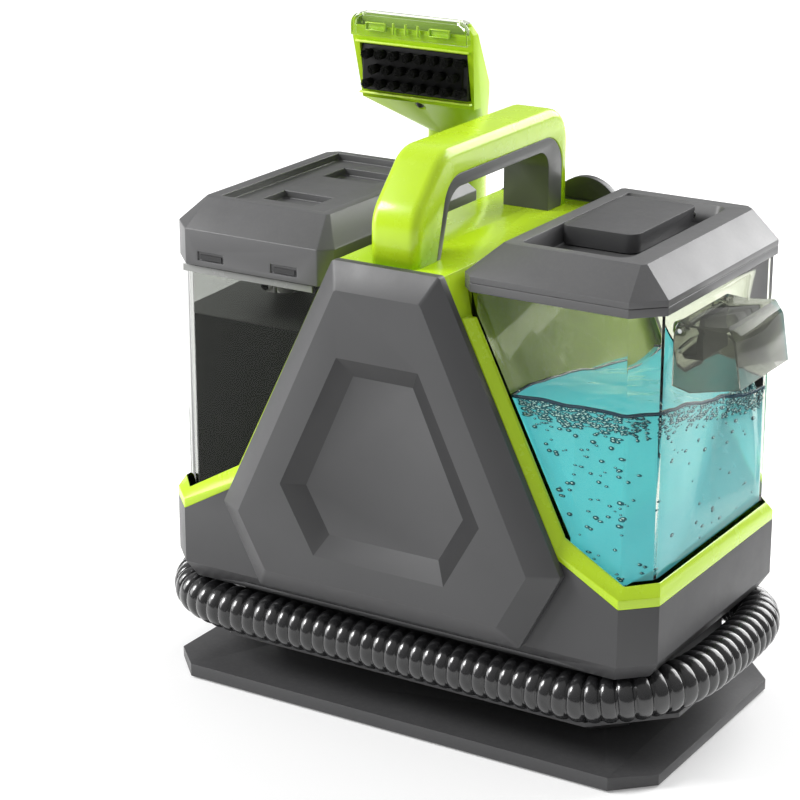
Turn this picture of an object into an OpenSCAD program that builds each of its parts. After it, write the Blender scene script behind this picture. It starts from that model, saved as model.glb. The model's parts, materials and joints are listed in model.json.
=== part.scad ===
// Portable spot extractor: a base plate, a tub with two lift-off tanks either side of a
// tower, a suction hose wrapped round the waist, and a hand tool stowed upright behind.
// Millimetres. X runs along the machine, -Y is the front, Z is up, and the origin is on
// the floor under the middle of the tower.

/* [Base plate] */
// Length of the base plate
base_l = 400; // [380:2:440]
// Depth of the base plate
base_w = 230; // [220:2:270]
// Size of the cut corners of the base plate
base_cut = 26; // [16:1:40]
// Height of the plate's flat top above the floor
base_h = 11.3; // [8:0.1:16]
// Fall of the plate's sloping ends
base_fall = 2; // [0.5:0.1:3]
// Length of each sloping end
base_slope_l = 27; // [15:1:40]
// Height of the feet below the plate
foot_h = 1.5; // [0.5:0.1:4]
// Diameter of a rubber foot
foot_d = 22; // [14:1:30]
// Depth of the pocket that holds a foot
foot_seat = 2; // [1:0.1:4]

/* [Hose waist] */
// Length of the core that the hose wraps
core_l = 362; // [340:2:366]
// Depth of the core that the hose wraps
core_w = 173; // [150:1:175]
// Size of the core's cut corners
core_cut = 38; // [24:1:45]
// Length of the pedestal under the hose tray
pedestal_l = 300; // [240:5:340]
// Depth of the pedestal under the hose tray
pedestal_w = 110; // [80:2:150]
// Top of the tray that the hose lies on
tray_z = 39.6; // [34:0.2:39.6]
// Thickness of the hose tray
tray_t = 3.6; // [2:0.1:6]
// Wall of the pedestal and of the core
waist_wall = 4; // [3:0.5:8]

/* [Tub] */
// Length of the tub
body_l = 395; // [390:1:480]
// Depth of the tub
body_w = 226; // [215:1:280]
// Size of the tub's cut corners
body_cut = 20.5; // [12:0.5:30]
// Underside of the tub
tub_z = 80; // [76:1:90]
// Height of the chamfer round the tub's underside
tub_chamfer_h = 13; // [5:1:20]
// Inset of the chamfer round the tub's underside
tub_chamfer_in = 8; // [3:1:12]
// Top edge of the tub at its two ends
tub_end_z = 134.5; // [125:0.5:145]
// Height where the tub's front edge meets the tower
tub_join_z = 161.5; // [150:0.5:175]
// Thickness of the tub's walls
tub_wall = 4.5; // [3:0.5:8]
// Floor of the two tank bays
bay_floor_z = 100; // [96:1:108]
// Clearance between a tank and its bay
tank_clear = 1.5; // [0.5:0.1:3]

/* [Tower] */
// Top of the tower
tower_z = 343.5; // [300:0.5:420]
// Half width of the tower's top
tower_half = 42; // [38:1:50]
// Sideways run of the tower's sides for each millimetre of fall
tower_lean = 0.476; // [0.4:0.001:0.5]
// Thickness of the tower's walls
tower_wall = 4.5; // [3:0.5:7]

/* [Trim] */
// Height of the trim band
trim_h = 14.5; // [8:0.5:20]
// Thickness of the trim band, front to back
trim_t = 8.4; // [5:0.1:9]
// Height of the trim band's upright lip
trim_lip = 7; // [3:0.5:12]
// Inward run of the trim band's sloping face
trim_in = 6.5; // [2:0.5:8]
// Width of the trim band beside the tower
trim_side = 8; // [4:0.5:10]
// Height of the trim band's upper end
trim_top_z = 317; // [250:1:317]

/* [Covers] */
// Height of the covers' widest corners
cover_mid_z = 149.7; // [140:0.1:158]
// Half width of the covers at their widest corners
cover_mid_half = 136.9; // [125:0.1:145]
// Height of the covers' lower edge
cover_low_z = 92.8; // [88:0.1:110]
// Half width of the covers' lower edge
cover_low_half = 106.5; // [90:0.5:120]
// Height of the plain edge round the front cover
cover_edge = 6.3; // [3:0.1:9]
// Height of the bevel round the front cover
cover_bevel = 11; // [5:0.5:14]
// Thickness of the rear cover
rear_cover_t = 7.8; // [5:0.1:9]
// Depth of the recess in the front cover
recess_depth = 8; // [2:0.1:9]
// Diameter of the cover screws' heads
screw_head_d = 7; // [5:0.5:9]
// Diameter of the cover screws' shanks
screw_d = 3.5; // [2.5:0.1:5]

/* [Tanks] */
// Wall of both tanks
tank_wall = 3; // [2:0.1:4]
// Thickness of both tanks' floors
tank_floor = 3; // [2:0.1:5]
// Top of the clean tank's clear wall
clean_top_z = 333.8; // [325:0.1:336]
// Top of the dirty tank's clear wall
dirty_top_z = 330; // [322:0.5:334]
// Height of the clean water's surface
clean_level = 266; // [160:1:320]
// Height of the dirty water's surface
dirty_level = 281; // [160:1:300]
// Radius of the tank valve's stem
valve_r = 4; // [2.5:0.1:6]
// Lift of the tank valve
valve_lift = 5; // [2:0.5:8]
// Running clearance of pins and stems
run_clear = 0.05; // [0.02:0.01:0.1]

/* [Lids] */
// Height of the lids' flat tops
lid_z = 363.5; // [356:0.5:440]
// Height where the lids' chamfers start
lid_edge_z = 344.5; // [338:0.5:346]
// Inset of the lids' chamfers at the two ends
lid_in_x = 20; // [8:1:26]
// Inset of the lids' chamfers at front and back
lid_in_y = 24; // [8:1:30]
// Inset of the clean lid's chamfer at the back
lid_in_back = 13; // [8:1:30]
// Height of the collar under the clean lid
collar_h = 6.2; // [3:0.1:9]
// Overhang of the lids past the tank walls
lid_over = 2.7; // [1:0.1:4]
// Lower edge of the dirty lid
dirty_lid_z = 318.7; // [310:0.1:326]
// Depth of the clean lid's grip recess
grip_depth = 13.5; // [6:0.5:16]
// Radius of the filler hole
filler_r = 17; // [10:1:20]
// Radius of the filler cap's hinge pin
cap_pin_r = 1.5; // [1:0.1:2.5]

/* [Tank latch] */
// Width of the smoky tank latch
latch_w = 76; // [50:1:100]
// Front side of the tank latch
latch_front_y = -78; // [-84:1:-40]
// Reach of the tank latch past the tank wall
latch_reach = 51; // [30:1:60]
// Wall of the tank latch
latch_wall = 2.5; // [1.5:0.1:4]
// Radius of the tank latch's hinge pin
latch_pin_r = 1.6; // [1:0.1:1.8]

/* [Handle] */
// Width of the carrying handle
handle_w = 38; // [30:1:50]
// Top of the carrying handle above the tower
handle_h = 74; // [60:1:110]
// Thickness of the handle's top bar
handle_bar = 19.5; // [12:0.5:26]
// Front of the handle's front leg
handle_front_y = -110.5; // [-112:0.5:-90]
// Back of the handle's rear leg
handle_rear_y = 104.5; // [80:0.5:110]

/* [Hand tool] */
// Place of the hand tool along the machine
wand_x = -101; // [-101:1:-101]
// Place of the hand tool behind the machine
wand_y = 148; // [148:1:148]
// Radius of the tool's grip
grip_r = 16; // [12:0.5:18]
// Radius of the tool's neck
neck_r = 22.5; // [20:0.5:24]
// Lower end of the tool's grip
grip_z = 150; // [150:1:170]
// Upper end of the tool's neck
neck_z = 372; // [360:1:380]
// Height of the head's mouth
mouth_z = 473; // [450:1:500]
// Width of the head's mouth
mouth_w = 105; // [80:1:120]
// Bristle tufts in a row
tufts = 8; // [3:1:9]
// Rows of bristle tufts
tuft_rows = 3; // [2:1:4]
// Radius of a bristle tuft
tuft_r = 4; // [2:0.1:4.5]
// Length of the bristles
tuft_l = 10; // [6:1:20]

/* [Hose] */
// Outer diameter of the hose
hose_d = 34; // [28:1:34]
// Diameter of the hose cuffs
cuff_d = 38; // [36:1:38]

/* [Inside] */
// Radius of the vacuum motor's can
motor_r = 40; // [25:1:46]
// Height of the vacuum motor's can
motor_h = 66; // [50:1:70]
// Radius of the fan housing
fan_r = 56; // [45:1:60]
// Height of the fan housing
fan_h = 34; // [24:1:40]
// Radius of the motor's shaft
shaft_r = 4; // [2.5:0.1:6]
// Fan blades
blades = 9; // [5:1:12]
// Radius of the suction pipe
pipe_r = 17; // [12:0.5:18]

/* [Hidden] */
$fn = 64;

grey = "#5f5f60";
lime = "#b9e01c";
black = "#1b1b1c";
clear = "#c8d8d4";
smoky = "#77786c";
metal = "#a8a8a8";

eps = 0.01;
touch = 0.3;
half_l = body_l / 2;
half_w = body_w / 2;
tower_foot_z = tub_join_z - 1.5;
divider_x = side_x(tower_foot_z) + 0.2;
bay_x = half_l - tub_wall + 0.5;
bay_y = half_w - trim_t;
tank_x = bay_x - tank_clear - 1;
tank_y = bay_y - tank_clear;
tank_z = bay_floor_z;
tank_foot_x = divider_x + tank_clear;
tank_foot_z = tub_join_z + 10.5;
tank_cut = body_cut - 3;
lid_x = tank_x + lid_over;
lid_y = tank_y + lid_over + 0.4;
lid_cut = body_cut - 1.5;
lid_inner_x = tank_side(clean_top_z) - 0.8;
dirty_inner_x = side_x(dirty_lid_z) + 0.6;
seal_h = 1.6;
valve_x = (tank_foot_x + tank_x) / 2;
motor_z = tub_join_z - 4;
fan_z = motor_z + motor_h;
cap_half = (lid_x - lid_inner_x) * 0.195;
cap_x = lid_inner_x + lid_in_x + 12 + cap_half;
cap_hinge_y = lid_y - 36;
cap_hinge_z = lid_z - 7;
latch_x = tank_x + 6.5;
latch_z = clean_top_z - 11.8;
latch_rear_y = latch_front_y + latch_w;
latch_mid_y = latch_front_y + latch_w / 2;
head_y = 77;

// Outer face of the tower's side at height z
function side_x(z) = tower_half + tower_lean * (tower_z - z);
// Inner face of a tank, beside the tower, at height z
function tank_side(z) = let(top = side_x(clean_top_z) + 3)
    z <= tank_foot_z ? tank_foot_x
    : tank_foot_x + (top - tank_foot_x) * (z - tank_foot_z) / (clean_top_z - tank_foot_z);

function unit(v) = v / norm(v);
// Points of one rounded corner b between neighbours a and c
function corner(a, b, c, r, n = 8) =
    let(u = unit(a - b), v = unit(c - b), half = acos(u * v) / 2,
        p = b + u * r / tan(half), q = b + v * r / tan(half),
        m = b + unit(u + v) * r / sin(half),
        a0 = atan2(p[1] - m[1], p[0] - m[0]), a1 = atan2(q[1] - m[1], q[0] - m[0]),
        turn = (a1 - a0 + 540) % 360 - 180)
    [for (i = [0 : n]) m + r * [cos(a0 + turn * i / n), sin(a0 + turn * i / n)]];
// Outline pts with each corner rounded by the radius of the same index
function rounded(pts, radii) = [for (i = [0 : len(pts) - 1])
    let(n = len(pts), a = pts[(i + n - 1) % n], b = pts[i], c = pts[(i + 1) % n])
    each radii[i] > 0 ? corner(a, b, c, radii[i]) : [b]];

// Rectangle with four cut corners
module octagon(l, w, cut) {
    x = l / 2;
    y = w / 2;
    polygon([[-x + cut, -y], [x - cut, -y], [x, -y + cut], [x, y - cut],
        [x - cut, y], [-x + cut, y], [-x, y - cut], [-x, -y + cut]]);
}
// Stands an outline drawn in X and Z on edge, from y0 to y1
module across(y0, y1) {
    translate([0, y1, 0]) rotate([90, 0, 0]) linear_extrude(y1 - y0) children();
}
// Stands an outline drawn in Y and Z on edge, from x0 to x1
module along(x0, x1) {
    translate([x0, 0, 0]) rotate([90, 0, 90]) linear_extrude(x1 - x0) children();
}
// Block between two corners
module block(a, b) {
    translate(a) cube(b - a);
}
// Round bar between two points
module bar(a, b, r) {
    d = b - a;
    translate(a) rotate([0, acos(d[2] / norm(d)), atan2(d[1], d[0])]) cylinder(r = r, h = norm(d));
}
// Repeats the children on the left as well as the right
module both_sides() {
    children();
    mirror([1, 0, 0]) children();
}

// ---- base and waist ----
base_screw_x = pedestal_l / 2 - 16;
base_screw_y = pedestal_w / 2 - 16;
foot_x = base_l / 2 - 38;
foot_y = base_w / 2 - 26;

module at_corners(x, y) {
    for (sx = [-1, 1]) for (sy = [-1, 1]) translate([sx * x, sy * y, 0]) children();
}
module base_plate() {
    x = base_l / 2;
    end_z = base_h - base_fall;
    color(grey) difference() {
        intersection() {
            linear_extrude(base_h) octagon(base_l, base_w, base_cut);
            across(-base_w, base_w) polygon([[-x, foot_h], [x, foot_h], [x, end_z],
                [x - base_slope_l, base_h], [-x + base_slope_l, base_h], [-x, end_z]]);
        }
        feet() cylinder(d = foot_d + touch, h = foot_h + foot_seat);
        at_corners(base_screw_x, base_screw_y) {
            cylinder(d = screw_d + 0.6, h = base_h + 1);
            cylinder(d = screw_head_d + 2, h = foot_h + 3.5);
        }
    }
}
// Four feet near the corners and one in the middle
module feet() {
    at_corners(foot_x, foot_y) children();
    children();
}
module rubber_feet() {
    color(black) feet() cylinder(d = foot_d, h = foot_h + foot_seat);
}
module screw(length) {
    cylinder(d = screw_head_d, h = 2.5);
    cylinder(d = screw_d, h = length);
}
module base_screws() {
    color(metal) at_corners(base_screw_x, base_screw_y)
        translate([0, 0, foot_h + 1]) screw(base_h + 8);
}
module pedestal() {
    top = tray_z - tray_t;
    color(grey) difference() {
        translate([0, 0, base_h]) linear_extrude(top - base_h)
            octagon(pedestal_l, pedestal_w, core_cut / 2);
        difference() {
            translate([0, 0, base_h - 1]) linear_extrude(top)
                octagon(pedestal_l - 2 * waist_wall, pedestal_w - 2 * waist_wall, core_cut / 2);
            at_corners(base_screw_x, base_screw_y) cylinder(d = screw_d + 8, h = top);
        }
        at_corners(base_screw_x, base_screw_y)
            cylinder(d = screw_d + 0.2, h = foot_h + base_h + 11);
    }
}
module hose_core() {
    color(grey) difference() {
        union() {
            translate([0, 0, tray_z - tray_t]) linear_extrude(tray_t)
                octagon(core_l + 30, core_w + 26, core_cut + 10);
            translate([0, 0, tray_z - eps]) linear_extrude(tub_z - tray_z + eps)
                octagon(core_l, core_w, core_cut);
        }
        translate([0, 0, tray_z]) linear_extrude(tub_z)
            octagon(core_l - 2 * waist_wall, core_w - 2 * waist_wall, core_cut);
        translate([port_x, core_w / 2 - waist_wall - 1, hose_z]) rotate([-90, 0, 0])
            cylinder(d = hose_d + touch, h = waist_wall + 2);
    }
}

// ---- tub, tower, trim and covers ----
// Outline of the tub from the front
module tub_profile() {
    low_x = half_l - body_cut;
    polygon([[-half_l - 1, 0], [half_l + 1, 0], [half_l + 1, tub_end_z], [low_x, tub_end_z],
        [divider_x, tub_join_z], [divider_x, tower_foot_z], [-divider_x, tower_foot_z],
        [-divider_x, tub_join_z], [-low_x, tub_end_z], [-half_l - 1, tub_end_z]]);
}
module body_tub() {
    fold = tub_z + tub_chamfer_h;
    inset = 2 * tub_chamfer_in;
    color(grey) difference() {
        intersection() {
            union() {
                hull() {
                    translate([0, 0, tub_z]) linear_extrude(eps)
                        octagon(body_l - inset, body_w - inset, body_cut - 3);
                    translate([0, 0, fold]) linear_extrude(eps) octagon(body_l, body_w, body_cut);
                }
                translate([0, 0, fold]) linear_extrude(tub_join_z - fold)
                    octagon(body_l, body_w, body_cut);
            }
            across(-body_w, body_w) tub_profile();
        }
        both_sides() intersection() {
            block([divider_x, -bay_y, bay_floor_z], [bay_x, bay_y, tower_z]);
            translate([0, 0, bay_floor_z]) linear_extrude(tower_z)
                octagon(2 * bay_x, 2 * bay_y, body_cut - 1);
        }
        machine_x = divider_x - tub_wall;
        machine_y = half_w - tub_wall;
        difference() {
            block([-machine_x, -machine_y, tub_z + 5], [machine_x, machine_y, tower_z]);
            at_corners(mount_x, mount_y) cylinder(d = 14, h = motor_z - mount_t);
        }
        under_x = core_l / 2 - waist_wall - 4;
        both_sides() block([divider_x + 3, -core_w / 2 + 12, tub_z - 1],
            [under_x, core_w / 2 - 12, bay_floor_z - 5]);
        translate([valve_x, 0, tub_z]) cylinder(r = dock_r + 0.2, h = bay_floor_z);
        translate([0, machine_y - 1, 0]) across(0, tub_wall + 2)
            translate([-grille_w / 2, cover_low_z + 12]) square([grille_w, grille_h]);
        translate([pump_x, pump_y, tub_z - 1]) cylinder(r = line_r + 1, h = 10);
        rear_screws() cylinder(d = screw_d + 0.2, h = 30);
    }
}
module tower_shell() {
    foot = side_x(tower_foot_z);
    in = tower_wall;
    color(lime) difference() {
        across(-half_w, half_w) polygon([[-foot, tower_foot_z], [-tower_half, tower_z],
            [tower_half, tower_z], [foot, tower_foot_z]]);
        across(-half_w - 1, half_w + 1) polygon([[-foot + in, tower_foot_z - 1],
            [-foot + in, tower_foot_z], [-side_x(tower_z - in) + in, tower_z - in],
            [side_x(tower_z - in) - in, tower_z - in], [foot - in, tower_foot_z],
            [foot - in, tower_foot_z - 1]]);
        duct_frame() cylinder(r = pipe_r - 4, h = 20, center = true);
        for (y = handle_screw_y) translate([0, y, tower_z - in - 1]) cylinder(d = screw_d + 0.6, h = 12);
    }
    color(lime) for (s = [-1, 1]) difference() {
        block([s * 24 - 7, half_w - 22, tower_z - in - 14], [s * 24 + 7, half_w, tower_z - in + 1]);
        rear_screws() cylinder(d = screw_d + 0.2, h = 30);
    }
}
// Solid swept through a list of rings, each with the same number of points
module swept(rings) {
    m = len(rings);
    n = len(rings[0]);
    walls = [for (i = [0 : m - 2]) for (j = [0 : n - 1]) let(k = (j + 1) % n)
        each [[i * n + j, i * n + k, (i + 1) * n + k], [i * n + j, (i + 1) * n + k, (i + 1) * n + j]]];
    ends = [[for (j = [0 : n - 1]) n - 1 - j], [for (j = [0 : n - 1]) (m - 1) * n + j]];
    polyhedron([for (ring = rings) each ring], concat(walls, ends));
}
// Section of the trim band at a station: outer edge, inner edge, direction of its
// height, and its height at the lip, at the end of the slope and at the back
function trim_section(at) = [for (p = [[0, 0], [at[3][0], 0], [at[3][1], trim_in],
    [at[3][2], trim_t], [0, trim_t]]) at[0] + (at[1] - at[0]) * p[1] / trim_t + at[2] * p[0]];
// One side's trim band, drawn for the right
module trim() {
    top_x = side_x(trim_top_z) + touch;
    low_x = half_l - body_cut;
    side_h = [2, trim_side * 0.85, trim_side];
    ring_h = [trim_lip, trim_h, trim_h];
    stations = [
        [[top_x, -half_w, trim_top_z], [top_x, -bay_y, trim_top_z], [1, 0, 0], side_h],
        [[divider_x, -half_w, tub_join_z], [divider_x, -bay_y, tub_join_z],
            unit([trim_side * 0.38, 0, trim_h]), [trim_lip / 2, trim_h - 1, trim_h - 1]],
        [[low_x, -half_w, tub_end_z], [low_x, -bay_y, tub_end_z], [0, 0, 1], ring_h],
        [[half_l, -half_w + body_cut, tub_end_z], [bay_x, -bay_y + body_cut - 1, tub_end_z],
            [0, 0, 1], ring_h]];
    front = [for (at = stations) trim_section(at)];
    rear = [for (i = [len(front) - 1 : -1 : 0]) [for (p = front[i]) [p[0], -p[1], p[2]]]];
    color(lime) swept(concat(front, rear));
}
module trim_left() {
    mirror([1, 0, 0]) trim();
}
module trim_right() {
    trim();
}
// Six-sided outline of the covers, inset all round
module cover_outline(in_top, in_side, in_low) {
    top = [tower_half - in_side * 0.42, tower_z + 1 - in_top];
    mid = [cover_mid_half - in_side, cover_mid_z + 1];
    low = [cover_low_half - in_low * 0.7, cover_low_z + in_low];
    polygon(rounded([top, mid, low, [-low[0], low[1]], [-mid[0], mid[1]], [-top[0], top[1]]],
        [3, 3, 3, 3, 3, 3]));
}
module front_cover() {
    plane = -half_w - cover_edge;
    face = plane - cover_bevel;
    color(grey) difference() {
        union() {
            across(plane, -half_w - 0.2) cover_outline(0, 0, 0);
            hull() {
                across(plane - eps, plane) cover_outline(0, 0, 0);
                across(face, face + eps) cover_outline(17.5, 20, 17);
            }
        }
        hull() {
            across(face - eps, face) recess_outline(0);
            across(face + recess_depth, face + recess_depth + eps) recess_outline(1);
        }
        across(plane, -half_w + 1) cover_outline(10, 9, 8);
    }
}
// Outline of the front cover's recess, at the face (0) and at its floor (1)
module recess_outline(deep) {
    top = [32.4 - 8.6 * deep, 279.4 - 14 * deep];
    mid = [80.5 - 17 * deep, 178.6];
    low = [53 - 8.6 * deep, 130 + 15 * deep];
    polygon([top, mid, low, [-low[0], low[1]], [-mid[0], mid[1]], [-top[0], top[1]]]);
}
// The rear cover's screws, as an axis that points forwards from the cover
module rear_screws() {
    y = half_w + rear_cover_t - 3;
    for (s = [-1, 1]) {
        translate([s * 24, y, tower_z - tower_wall - 7]) rotate([90, 0, 0]) children();
        translate([s * (cover_low_half - 8), y, cover_low_z + 12]) rotate([90, 0, 0]) children();
    }
}
module rear_cover() {
    outer = half_w + rear_cover_t;
    color(grey) difference() {
        across(half_w + 0.2, outer) cover_outline(0, 0, 0);
        across(half_w, outer - 3) cover_outline(26, 14, 22);
        translate([-grille_w / 2, half_w, cover_low_z + 12]) cube([grille_w, 30, grille_h]);
        rear_screws() cylinder(d = screw_d + 0.6, h = 30);
        rear_screws() translate([0, 0, -4]) cylinder(d = screw_head_d + 1, h = 4);
        across(half_w, outer + 1) translate([button_x, button_z]) circle(r = button_r + touch);
        across(half_w, outer + 1) translate([inlet_x, inlet_z]) square([28.6, 21.6], center = true);
    }
}
module cover_screws() {
    color(metal) rear_screws() translate([0, 0, -2.5]) screw(16);
}
grille_w = 84;
grille_h = 34;
button_x = -24;
button_z = 262;
button_r = 10;
inlet_x = 62;
inlet_z = 182;
hook_x = 28.4;
hook_z = 333.4;
hook_r = 28.6;

// ---- carrying handle ----
handle_screw_y = [handle_front_y + 14, handle_rear_y - 15];

// Opening of the handle: 0 at the handle itself, 1 at the grip liner's inner face
module handle_opening(liner) {
    top = tower_z + handle_h - handle_bar - 9 * liner;
    front = handle_front_y + 27.5 + 5 * liner;
    rear = handle_rear_y - 10.5 - 20 * liner;
    polygon(rounded([[front, tower_z - 1], [front + 14, top], [rear, top], [rear, tower_z - 1]],
        [0, 22 - 4 * liner, 24 - 10 * liner, 0]));
}
module handle() {
    top = tower_z + handle_h;
    color(lime) difference() {
        along(-handle_w / 2, handle_w / 2) difference() {
            polygon(rounded([[handle_front_y, tower_z], [handle_front_y, top - 39],
                [handle_front_y + 38, top], [handle_rear_y, top], [handle_rear_y, tower_z]],
                [0, 28, 28, 26, 0]));
            handle_opening(0);
        }
        for (y = handle_screw_y) translate([0, y, tower_z - 1]) cylinder(d = screw_d + 0.2, h = 14);
    }
}
module handle_grip() {
    color("#4a4a4c") difference() {
        along(-handle_w / 2 + 0.4, handle_w / 2 - 0.4) difference() {
            intersection() {
                handle_opening(0);
                translate([-body_w, tower_z]) square([2 * body_w, handle_h]);
            }
            handle_opening(1);
        }
        for (y = handle_screw_y) translate([0, y, tower_z - 1]) cylinder(d = screw_d + 0.2, h = 14);
    }
}
module handle_screws() {
    color(metal) for (y = handle_screw_y)
        translate([0, y, tower_z - tower_wall - 2.5]) screw(tower_wall + 12);
}

// ---- vacuum, pump and controls ----
mount_x = 95;
mount_y = 78;
mount_t = 5;
pump_x = 60;
pump_y = -62;
line_r = 4;
dock_r = 15;
valve_open = 2;
duct_z = 300;

module motor_mount() {
    color("#7a7c80") difference() {
        translate([0, 0, motor_z - mount_t]) linear_extrude(mount_t)
            octagon(2 * mount_x + 24, 2 * mount_y + 24, 16);
        translate([0, 0, motor_z - mount_t - 1]) cylinder(r = motor_r - 12, h = mount_t + 2);
    }
}
module vacuum_motor() {
    color(metal) {
        translate([0, 0, motor_z]) cylinder(r = motor_r, h = motor_h);
        translate([0, 0, motor_z]) cylinder(r = motor_r + 8, h = 4);
        translate([0, 0, fan_z - 1]) cylinder(r = shaft_r, h = fan_h - 6);
    }
}
module fan_housing() {
    color(black) difference() {
        union() {
            translate([0, 0, fan_z]) cylinder(r = fan_r, h = fan_h);
            block([-14, 0, fan_z + 4], [14, fan_r + 22, fan_z + fan_h - 6]);
        }
        translate([0, 0, fan_z + 3]) cylinder(r = fan_r - 4, h = fan_h - 6);
        translate([0, 0, fan_z - 1]) cylinder(r = shaft_r + 6, h = 8);
        translate([0, 0, fan_z + fan_h - 4]) cylinder(r = pipe_r - 3, h = 8);
        block([-11, 0, fan_z + 7], [11, fan_r + 23, fan_z + fan_h - 9]);
    }
}
module impeller() {
    r = fan_r - 8;
    low = fan_z + 5;
    high = fan_h - 12;
    color(metal) difference() {
        union() {
            translate([0, 0, low]) cylinder(r = r, h = 2);
            translate([0, 0, low]) cylinder(r = shaft_r + 5, h = high);
            for (i = [0 : blades - 1]) rotate(360 * i / blades)
                translate([shaft_r + 3, 0, low + 1]) rotate(20) cube([r - shaft_r - 10, 1.6, high - 3]);
        }
        translate([0, 0, low - 1]) cylinder(r = shaft_r + run_clear, h = high + 2);
    }
}
// Axis square to the tower's left wall at the duct, pointing outwards
module duct_frame() {
    translate([-side_x(duct_z), 0, duct_z]) rotate([0, -90 + atan(tower_lean), 0]) children();
}
module suction_pipe() {
    low = fan_z + fan_h;
    back = side_x(duct_z) - 8;
    color(black) difference() {
        union() {
            translate([0, 0, low]) cylinder(r = pipe_r, h = duct_z - low - 14);
            translate([0, 0, duct_z - 14]) sphere(r = pipe_r);
            bar([0, 0, duct_z - 14], [-back, 0, duct_z - 3.5], pipe_r - 2);
        }
        translate([0, 0, low - 1]) cylinder(r = pipe_r - 3, h = duct_z - low - 12);
        bar([0, 0, duct_z - 14], [-back - 9, 0, duct_z - 1.8], pipe_r - 5);
        duct_frame() translate([0, 0, -tower_wall - 0.6]) cylinder(r = 60, h = 60);
    }
}
module dirty_dock() {
    gap = (tank_side(duct_z) - side_x(duct_z)) * cos(atan(tower_lean));
    color(black) duct_frame() difference() {
        cylinder(r = pipe_r, h = gap - 0.5);
        translate([0, 0, -1]) cylinder(r = pipe_r - 5, h = 6);
    }
}
module pump() {
    color("#2c2c2e") translate([pump_x, pump_y, tub_z + 5]) {
        difference() {
            block([-20, -18, 0], [20, 18, 30]);
            translate([0, 0, -1]) cylinder(r = line_r + run_clear, h = 12);
        }
        translate([0, 18, 15]) rotate([-90, 0, 0]) cylinder(r = 13, h = 34);
    }
}
module water_pipe() {
    low = tray_z + 12;
    path = [[valve_x, 0, bay_floor_z - 15], [valve_x, 0, low], [pump_x, pump_y, low],
        [pump_x, pump_y, tub_z + 12]];
    color(clear) {
        for (i = [0 : 2]) bar(path[i], path[i + 1], line_r);
        for (i = [1 : 2]) translate(path[i]) sphere(r = line_r + 1.5);
    }
}
module clean_dock() {
    color(black) translate([valve_x, 0, bay_floor_z - 15]) {
        difference() {
            cylinder(r = dock_r, h = 14.6);
            translate([0, 0, 3]) cylinder(r = 12.4, h = 20);
        }
        cylinder(r = 2.5, h = 12.6 + valve_open);
    }
}
module control_board() {
    switch_y = half_w + rear_cover_t - 18.5;
    color("#2f5a3a") block([-36, half_w - 20, motor_z + 24], [24, half_w - 18, button_z + 14]);
    color(black) {
        block([-20, half_w - 18, motor_z + 30], [0, half_w - 8, motor_z + 46]);
        block([button_x - 8, half_w - 18, button_z - 8], [button_x + 8, switch_y, button_z + 8]);
        block([4, half_w - 18, motor_z + 40], [16, half_w - 12, motor_z + 60]);
        for (s = [-1, 1]) block([s * 14 - 11, half_w - 25, motor_z], [s * 14 + 5, half_w - 20, motor_z + 30]);
    }
}
module exhaust_grille() {
    z = cover_low_z + 12;
    color(black) difference() {
        block([-grille_w / 2 + touch, half_w - 2, z + touch],
            [grille_w / 2 - touch, half_w + rear_cover_t, z + grille_h - touch]);
        for (i = [0 : 4]) block([-grille_w / 2 + 6, half_w - 3, z + 4 + 5.6 * i],
            [grille_w / 2 - 6, half_w + rear_cover_t + 1, z + 7 + 5.6 * i]);
    }
}
module power_inlet() {
    outer = half_w + rear_cover_t;
    color(black) difference() {
        union() {
            across(half_w - 14, outer + 1.5) translate([inlet_x, inlet_z]) square([28, 21], center = true);
            across(outer, outer + 1.5) translate([inlet_x, inlet_z]) square([34, 27], center = true);
        }
        across(outer - 12, outer + 3) translate([inlet_x, inlet_z]) square([22, 14], center = true);
    }
    color(metal) for (x = [-6, 0, 6]) across(outer - 13, outer - 3)
        translate([inlet_x + x, inlet_z - 1]) square([1.6, 5], center = true);
}
module power_button() {
    color(black) translate([button_x, half_w + rear_cover_t + 3, button_z]) rotate([90, 0, 0])
        difference() {
            union() {
                cylinder(r = button_r, h = 18);
                translate([0, 0, 6]) cylinder(r = button_r + 2, h = 2);
            }
            translate([0, 0, -1]) cylinder(r = button_r - 3, h = 1.6);
        }
}
module cord_hook() {
    y = half_w + 0.2;
    color("#46464a") difference() {
        union() {
            across(y, y + 7) translate([hook_x, hook_z]) circle(r = hook_r);
            across(y, y + 22) translate([hook_x, hook_z]) circle(r = 10);
            across(y + 19, y + 22) translate([hook_x, hook_z]) circle(r = 19);
        }
        across(y - 1, y + rear_cover_t - 0.1) cover_outline(-touch, -touch, 0);
        block([-body_l, 0, 0], [body_l, body_w, hook_z - 24]);
    }
}

// ---- hose and its fittings ----
hose_z = 58.5;
hose_y = 106;
port_x = -92;
cuff_x = port_x + 19;
hose_start = [-38, hose_y, hose_z];
hose_end = [wand_x, wand_y, 120];
// The hose's route: out of its cuff, round the waist once and up to the hand tool
hose_route = [hose_start, [0, 106, hose_z], [60, 106, hose_z], [110, 106, hose_z],
    [155, 103, hose_z], [188, 88, hose_z], [205, 62, hose_z], [209, 30, hose_z],
    [209, -10, hose_z], [207, -40, hose_z], [199, -68, hose_z], [180, -91, hose_z],
    [148, -104, hose_z], [110, -106, hose_z], [60, -106, hose_z], [0, -106, hose_z],
    [-60, -106, hose_z], [-110, -106, hose_z], [-150, -104, hose_z], [-182, -93, hose_z],
    [-202, -70, hose_z], [-208, -40, hose_z], [-208, 0, hose_z], [-206, 45, hose_z],
    [-203, 90, hose_z], [-187, 127, hose_z], [-155, 147, 63], [-123, 148, 80],
    [-104, 148, 104], hose_end];

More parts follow.
